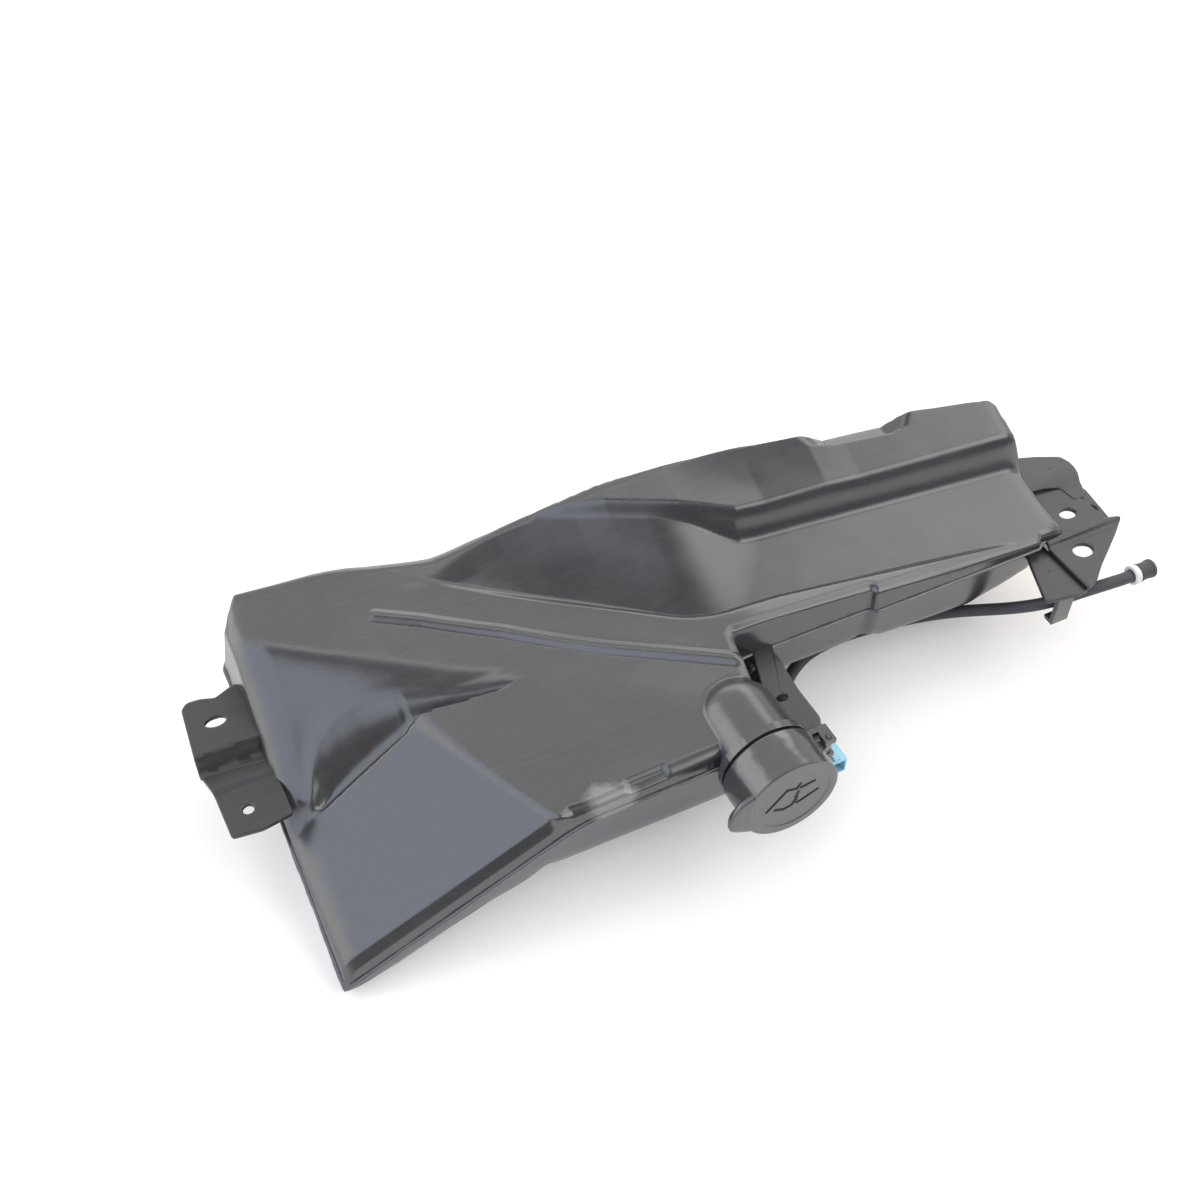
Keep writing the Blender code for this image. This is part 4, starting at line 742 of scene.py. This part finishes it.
def pierced_plate(name, node, outline, centre, hole, height, thickness, material=pinched_plastic,
                  body="tank_body", rings=14):
    """A plate as a ring grid: shares run from the hole's rim to the outline on top, then back
    underneath; the angle is the same at both rims. Its height is a function of plan."""
    rim = rounded(outline, 0.002, 4)
    station = np.concatenate([[0.0], np.cumsum(np.linalg.norm(
        np.diff(np.vstack([rim, rim[:1]]), axis=0), axis=1))])
    along = np.linspace(0.0, station[-1], 161)[:-1]
    closed = np.vstack([rim, rim[:1]])
    outer = np.column_stack([np.interp(along, station, closed[:, k]) for k in range(2)])
    away = np.arctan2((outer[:, 1] - centre[1]) / hole[1], (outer[:, 0] - centre[0]) / hole[0])
    inner = np.array(centre) + np.column_stack([hole[0] * np.cos(away), hole[1] * np.sin(away)])
    edge = min(0.10, 0.35 * thickness / 0.02)
    share = np.concatenate([[0.0, 0.3 * edge], np.linspace(edge, 1 - edge, rings),
                            [1 - 0.3 * edge, 1.0]])
    soft = np.ones(len(share))
    soft[[0, -1]] = 0.55
    soft[[1, -2]] = 0.88
    share = np.concatenate([share, share[::-1]])
    up = np.concatenate([soft, -soft[::-1]]) * thickness / 2
    plan = inner[None] * (1 - share[:, None, None]) + outer[None] * share[:, None, None]
    rise = height(plan[..., 0], plan[..., 1]) + up[:, None]
    points = np.concatenate([plan, rise[..., None]], axis=-1) + DATUM
    piece = mesh_piece(name, points.reshape(-1, 3), grid_faces(*points.shape[:2], True, True),
                       material, 50)
    close_mesh(piece.data, 50)
    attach(piece, body)
    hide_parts(node)


def step_between(value, low, high):
    """A smooth step from 0 to 1 as the value goes from low to high."""
    t = np.clip((value - low) / (high - low), 0.0, 1.0)
    return t * t * (3 - 2 * t)


pierced_plate("left_ear", "left_bracket", (
    (-0.2820, 0.2040), (-0.2850, 0.1600), (-0.2450, 0.1560), (-0.2450, 0.2110), (-0.2530, 0.2085),
    (-0.2620, 0.2045), (-0.2700, 0.2075), (-0.2780, 0.2080)),
    (-0.2665, 0.1875), (0.0062, 0.0034),
    lambda x, y: SEAM - 0.0105 * step_between(0.1680 - y, 0.0, 0.006), BRACKET_THICKNESS)
pierced_plate("left_foot", "left_bracket", (
    (-0.2845, 0.1630), (-0.2810, 0.1480), (-0.2800, 0.1170), (-0.2630, 0.1150), (-0.2450, 0.1180),
    (-0.2450, 0.1640)),
    (-0.2665, 0.1310), (0.0032, 0.0032),
    lambda x, y: SEAM - 0.0130 + 0.0020 * step_between(y, 0.1460, 0.1500), BRACKET_THICKNESS)
pierced_plate("right_flange", "right_bracket", (
    (0.2560, 0.1720), (0.2560, 0.1380), (0.2740, 0.1370), (0.2860, 0.1340), (0.2880, 0.1210),
    (0.2960, 0.1210), (0.3010, 0.1290), (0.3055, 0.1430), (0.3060, 0.1500), (0.3035, 0.1570),
    (0.2890, 0.1640), (0.2750, 0.1690)),
    (0.2890, 0.1500), NO_HOLE,
    lambda x, y: SEAM + 0.0030 - 0.0030 * step_between(0.1400 - y, 0.0, 0.008), BRACKET_THICKNESS)
pierced_plate("right_plate", "right_bracket", (
    (0.2560, 0.1430), (0.2560, 0.0950), (0.2960, 0.0955), (0.2930, 0.1260), (0.2900, 0.1390),
    (0.2770, 0.1430)),
    (0.2760, 0.1130), (0.0058, 0.0042),
    lambda x, y: SEAM - 0.0005 + 0.0 * x, BRACKET_THICKNESS)
pierced_plate("right_lip", "right_bracket", (
    (0.2895, 0.1330), (0.2920, 0.0960), (0.2995, 0.0970), (0.3035, 0.1290), (0.3000, 0.1340)),
    (0.2965, 0.1110), (0.0024, 0.0034),
    lambda x, y: SEAM - 0.0030 + 0.0 * x, BRACKET_THICKNESS)
pierced_plate("right_ear", "right_bracket", (
    (0.2470, 0.0990), (0.2480, 0.0560), (0.2570, 0.0590), (0.2690, 0.0690), (0.2820, 0.0780),
    (0.2960, 0.0880), (0.3060, 0.0960), (0.2980, 0.0985)),
    (0.2660, 0.0840), (0.0068, 0.0056),
    lambda x, y: SEAM - 0.0035 + 0.0035 * step_between(y, 0.0930, 0.0970), BRACKET_THICKNESS)
pierced_plate("right_foot", "right_bracket", (
    (0.2480, 0.1030), (0.2360, 0.1030), (0.2310, 0.0920), (0.2190, 0.0600), (0.2420, 0.0560),
    (0.2500, 0.0570)),
    (0.2370, 0.0800), NO_HOLE,
    lambda x, y: SEAM - 0.0065 + 0.0 * x, BRACKET_THICKNESS)
pierced_plate("neck_fin", "tank", (
    (0.0180, 0.0360), (0.0400, 0.0345), (0.0430, 0.0400), (0.0425, 0.0630), (0.0440, 0.0810),
    (0.0430, 0.0930), (0.0480, 0.1030), (0.0340, 0.1030), (0.0150, 0.0450)),
    (0.0305, 0.0620), (0.0038, 0.0024),
    lambda x, y: SEAM + 0.0 * x, 0.0024)


def hook_piece():
    """The hose hook: a J profile carried 12 mm along X, hung under the foot plate."""
    profile = rounded(((0.0585, 0.0690), (0.0585, 0.0450), (0.0655, 0.0450), (0.0670, 0.0475),
                       (0.0615, 0.0475), (0.0615, 0.0690)), 0.0008, 3)
    x = np.array((0.2290, 0.2294, 0.2300, 0.2400, 0.2406, 0.2410))
    points = np.stack(np.broadcast_arrays(x[:, None], profile[None, :, 0], profile[None, :, 1]), axis=-1)
    count = len(profile)
    faces = grid_faces(len(x), count, False, True).tolist()
    faces += [list(range(count)), list(range((len(x) - 1) * count, len(x) * count))]
    piece = mesh_piece("hose_hook", (points + DATUM).reshape(-1, 3), faces, tank_plastic, 40)
    close_mesh(piece.data, 40)
    return piece


hook = hook_piece()
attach(hook, "tank_body")
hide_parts("right_bracket")


# The pump seat: a round boss of the tank behind the pump, bored for the inlet's grommet.
seat_profile = np.vstack([
    np.column_stack([0.0168 * np.cos(np.linspace(math.pi / 2, 0, 13)),
                     0.1200 + 0.0168 * np.sin(np.linspace(math.pi / 2, 0, 13))]),
    ((0.0168, 0.0980), (0.0162, 0.0972), (0.0155, 0.0970), (0.0112, 0.0970), (0.0110, 0.0975),
     (0.0110, 0.1030))])
seat = turned_piece("pump_seat", seat_profile, (0.0410, 0.0, 0.0460), (0, 1, 0), tank_plastic, 72)
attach(seat, "tank_body")
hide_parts("tank")


# The filler cap: injection-moulded black polypropylene, a snap fit on the mouth. Its disc has a
# shallow dish with the windscreen washer symbol, and a finger tab on the left.
CAP_RADIUS = 0.0290
cap_plastic = moulded_material("moulded_polypropylene", "#2e2e31", "#37373a", 0.17, 9.0, 0.08)
# The same plastic on the cap's face, where the pressed lines of the symbol are coloured near black
# through a mark.
face_plastic = moulded_material("moulded_polypropylene_face", "#3c3c3f", "#47474a", 0.32, 18.0, 0.10,
                                mark="darkening")


def stroke_distance(x, z, strokes):
    """Distance in the cap's face to the nearest of several chains of short lines."""
    return np.min([distance_to_line(x, z, stroke) for stroke in strokes], axis=0)


SYMBOL = (
    ((-0.0155, -0.0035), (-0.0040, 0.0095), (0.0022, 0.0075), (0.0040, 0.0110)),
    ((0.0050, 0.0072), (0.0130, 0.0085)),
    ((0.0035, 0.0040), (0.0022, 0.0002), (0.0030, -0.0010), (0.0010, -0.0045)),
    ((-0.0100, -0.0050), (-0.0050, -0.0072), (0.0000, -0.0065), (0.0025, -0.0035)),
    ((0.0040, -0.0060), (0.0160, -0.0010)),
)


def cap_face():
    """The disc as rings about its centre: a dish 0.6 mm deep, the symbol pressed 0.45 mm deeper."""
    radius = np.concatenate([np.linspace(0.0, 0.0276, 150),
                             (0.0280, 0.0284, 0.0287, 0.0289, CAP_RADIUS)])
    turn = math.tau * np.arange(360) / 360
    x = radius[:, None] * np.cos(turn)
    z = radius[:, None] * np.sin(turn)
    off_centre = np.hypot(x - 0.0010, z + 0.0002)
    dish = 0.0006 * step_between(0.0232 - off_centre, 0.0, 0.0012)
    groove = step_between(0.0013 - stroke_distance(x, z, SYMBOL), 0.0, 0.0003)
    edge = 0.0008 * step_between(radius, 0.0278, CAP_RADIUS)[:, None] + 0 * x
    y = -0.0008 + dish + 0.00045 * groove + edge
    return np.stack([x, y, SEAM + z], axis=-1) + DATUM, groove


face_points, groove = cap_face()
cap_disc = mesh_piece("cap_disc", face_points.reshape(-1, 3),
                      grid_faces(face_points.shape[0], face_points.shape[1], False, True),
                      face_plastic, 50)
# The pressed lines of the symbol are coloured near black through this attribute.
cap_disc.data.attributes.new("darkening", "FLOAT", "POINT").data.foreach_set("value", groove.ravel())
skirt_profile = ((CAP_RADIUS, 0.0), (CAP_RADIUS, 0.0010), (CAP_RADIUS, 0.0060),
                 (CAP_RADIUS, 0.0120), (CAP_RADIUS, 0.0180), (CAP_RADIUS, 0.0238),
                 (0.0288, 0.0246), (0.0284, 0.0250), (0.0270, 0.0250), (0.0267, 0.0246),
                 (0.0267, 0.0030), (0.0, 0.0025))
cap_skirt = turned_piece("cap_skirt", skirt_profile, (0.0, 0.0, SEAM), (0, 1, 0), cap_plastic, 128)


def upright_plate(name, outline, y, thickness, material):
    """A plate in the plane of the cap's face, with softened rims: a ring grid from its middle."""
    rim = rounded(outline, 0.003, 5)
    middle = rim.mean(axis=0)
    share = np.array((0.0, 0.5, 0.86, 0.95, 1.0))
    share = np.concatenate([share, share[::-1]])
    out = np.array((1.0, 1.0, 1.0, 0.9, 0.5))
    out = np.concatenate([-out, out[::-1]]) * thickness / 2
    plan = middle + (rim[None] - middle) * share[:, None, None]
    points = np.stack([plan[..., 0], y + out[:, None] + 0 * plan[..., 0], SEAM + plan[..., 1]], axis=-1)
    piece = mesh_piece(name, (points + DATUM).reshape(-1, 3),
                       grid_faces(*points.shape[:2], False, True), material, 50)
    close_mesh(piece.data, 50)
    return piece


cap_tab = upright_plate("cap_tab", (
    (-0.0200, -0.0150), (-0.0240, -0.0165), (-0.0340, -0.0110), (-0.0380, -0.0080),
    (-0.0385, -0.0040), (-0.0385, 0.0010), (-0.0370, 0.0060), (-0.0320, 0.0125),
    (-0.0240, 0.0160), (-0.0200, 0.0150)), 0.0012, 0.0036, cap_plastic)
pin_profile = ((0.0, -0.0085), (0.0012, -0.0085), (0.0015, -0.0082), (0.0015, 0.0), (0.0015, 0.0082),
               (0.0012, 0.0085), (0.0, 0.0085))
cap_pin = turned_piece("cap_pintle", pin_profile, (0.0360, 0.0220, SEAM), (0, 0, 1), cap_plastic, 32)
for piece in (cap_disc, cap_skirt, cap_tab, cap_pin):
    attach(piece, "cap_body")
    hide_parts("filler_cap")
pierced_plate("cap_arm", "filler_cap", (
    (0.0280, 0.0150), (0.0340, 0.0190), (0.0385, 0.0205), (0.0385, 0.0235), (0.0340, 0.0245),
    (0.0280, 0.0240)), (0.0330, 0.0210), NO_HOLE, lambda x, y: SEAM + 0.0 * x, 0.0080,
    material=cap_plastic, body="cap_body")


# Under the cap: a collar of the same plastic snapped round the neck, with the cap's two hinge
# ears, and a moulded rubber ring that seals the cap on the mouth.
def dressed(material, *names):
    """The CAD's own shape kept, with a finish on each of its material slots."""
    for name in names:
        for slot in nodes[name].material_slots:
            slot.material = material


dressed(cap_plastic, "cap_collar")
dressed(rubber_material("moulded_nitrile_rubber", "#1f1f20", "#333334", 0.50, 0.9), "cap_seal")


# The washer pump in its grommet: glass-filled polyamide mouldings, matt and slightly mottled, a
# light blue socket with two tinned brass blades, and a nylon strainer inside the tank.
def pump_material(name, base, pale, roughness, grain_mm):
    """Injection-moulded plastic: an eroded grain and a faint mottle of filler."""
    made, tree = new_material(name)
    place = add_node(tree, "ShaderNodeTexCoord").outputs["Object"]
    mottle = add_node(tree, "ShaderNodeTexNoise", {"Vector": place, "Scale": 180.0, "Detail": 4.0,
                                                   "Roughness": 0.65})
    grain = add_node(tree, "ShaderNodeTexNoise", {"Vector": place, "Scale": 1000.0 / grain_mm,
                                                  "Detail": 1.0})
    colour = add_node(tree, "ShaderNodeMix", {0: mottle.outputs["Fac"], 6: linear(base),
                                              7: linear(pale)}, data_type="RGBA")
    rough = add_node(tree, "ShaderNodeMapRange", {"Value": mottle.outputs["Fac"], "From Min": 0.3,
                                                  "From Max": 0.7, "To Min": roughness - 0.05,
                                                  "To Max": roughness + 0.06})
    bump = add_node(tree, "ShaderNodeBump", {"Height": grain.outputs["Fac"], "Strength": 0.2,
                                             "Distance": 0.0001})
    shader = add_node(tree, "ShaderNodeBsdfPrincipled", {
        "Base Color": colour.outputs[2], "Roughness": rough.outputs[0], "IOR": 1.53,
        "Normal": bump.outputs[0]})
    add_node(tree, "ShaderNodeOutputMaterial", {"Surface": shader.outputs[0]})
    return made


dressed(pump_material("glass_filled_polyamide", "#262628", "#353537", 0.42, 0.8),
        "pump_housing", "motor_case", "motor_end_cap", "impeller")
dressed(pump_material("moulded_blue_polyamide", "#86c8e3", "#b3dcec", 0.36, 0.9), "pump_connector")
dressed(pump_material("moulded_nylon_strainer", "#c5c5bd", "#dbdbd4", 0.45, 0.7), "pump_strainer")
dressed(rubber_material("moulded_epdm_grommet", "#222224", "#3a3a3b", 0.55, 1.0), "pump_grommet",
        "shaft_seal")


# The motor: a zinc-plated steel can, two ferrite magnets, carbon brushes, sintered bronze bushes,
# and a rotor of stacked steel, wound and pressed on a ground steel shaft with a copper commutator.
def metal_material(name, base, dull, roughness, grain_mm, turning=1.0, metallic=1.0):
    """Worked metal: fine lines round the motor's axis, and patches of dull oxide."""
    made, tree = new_material(name)
    place = add_node(tree, "ShaderNodeTexCoord").outputs["Object"]
    patches = add_node(tree, "ShaderNodeTexNoise", {"Vector": place, "Scale": 140.0, "Detail": 5.0})
    stretched = add_node(tree, "ShaderNodeMapping", {"Vector": place,
                                                     "Scale": (1.0, turning, 1.0)})
    lines = add_node(tree, "ShaderNodeTexNoise", {"Vector": stretched.outputs[0],
                                                  "Scale": 1000.0 / grain_mm, "Detail": 1.0})
    colour = add_node(tree, "ShaderNodeMix", {0: patches.outputs["Fac"], 6: linear(base),
                                              7: linear(dull)}, data_type="RGBA")
    rough = add_node(tree, "ShaderNodeMapRange", {"Value": lines.outputs["Fac"], "From Min": 0.3,
                                                  "From Max": 0.7, "To Min": roughness - 0.08,
                                                  "To Max": roughness + 0.10})
    shader = add_node(tree, "ShaderNodeBsdfPrincipled", {
        "Base Color": colour.outputs[2], "Roughness": rough.outputs[0], "Metallic": metallic})
    add_node(tree, "ShaderNodeOutputMaterial", {"Surface": shader.outputs[0]})
    return made


dressed(metal_material("zinc_plated_steel", "#c3c6c9", "#9b9fa3", 0.30, 3.0), "motor_can")
dressed(metal_material("tinned_brass", "#cfcabc", "#b3a98b", 0.28, 2.0), "left_terminal",
        "right_terminal")
dressed(metal_material("ground_steel", "#c9cacb", "#a8a9ab", 0.20, 2.0, 6.0), "motor_shaft")
dressed(metal_material("sintered_bronze", "#b08d57", "#8a6b3f", 0.42, 0.6), "front_bush", "rear_bush")
dressed(metal_material("drawn_copper", "#c8794f", "#a05a38", 0.30, 2.0, 6.0), "commutator")
dressed(metal_material("stacked_core_steel", "#8b8784", "#5f5c5a", 0.42, 1.0, 5.0), "armature")
dressed(metal_material("pressed_ferrite", "#3a3a3c", "#4d4d4f", 0.60, 0.8, metallic=0.0),
        "left_magnet", "right_magnet")
dressed(metal_material("pressed_carbon", "#28282a", "#39393b", 0.68, 0.7, metallic=0.0),
        "left_brush", "right_brush")
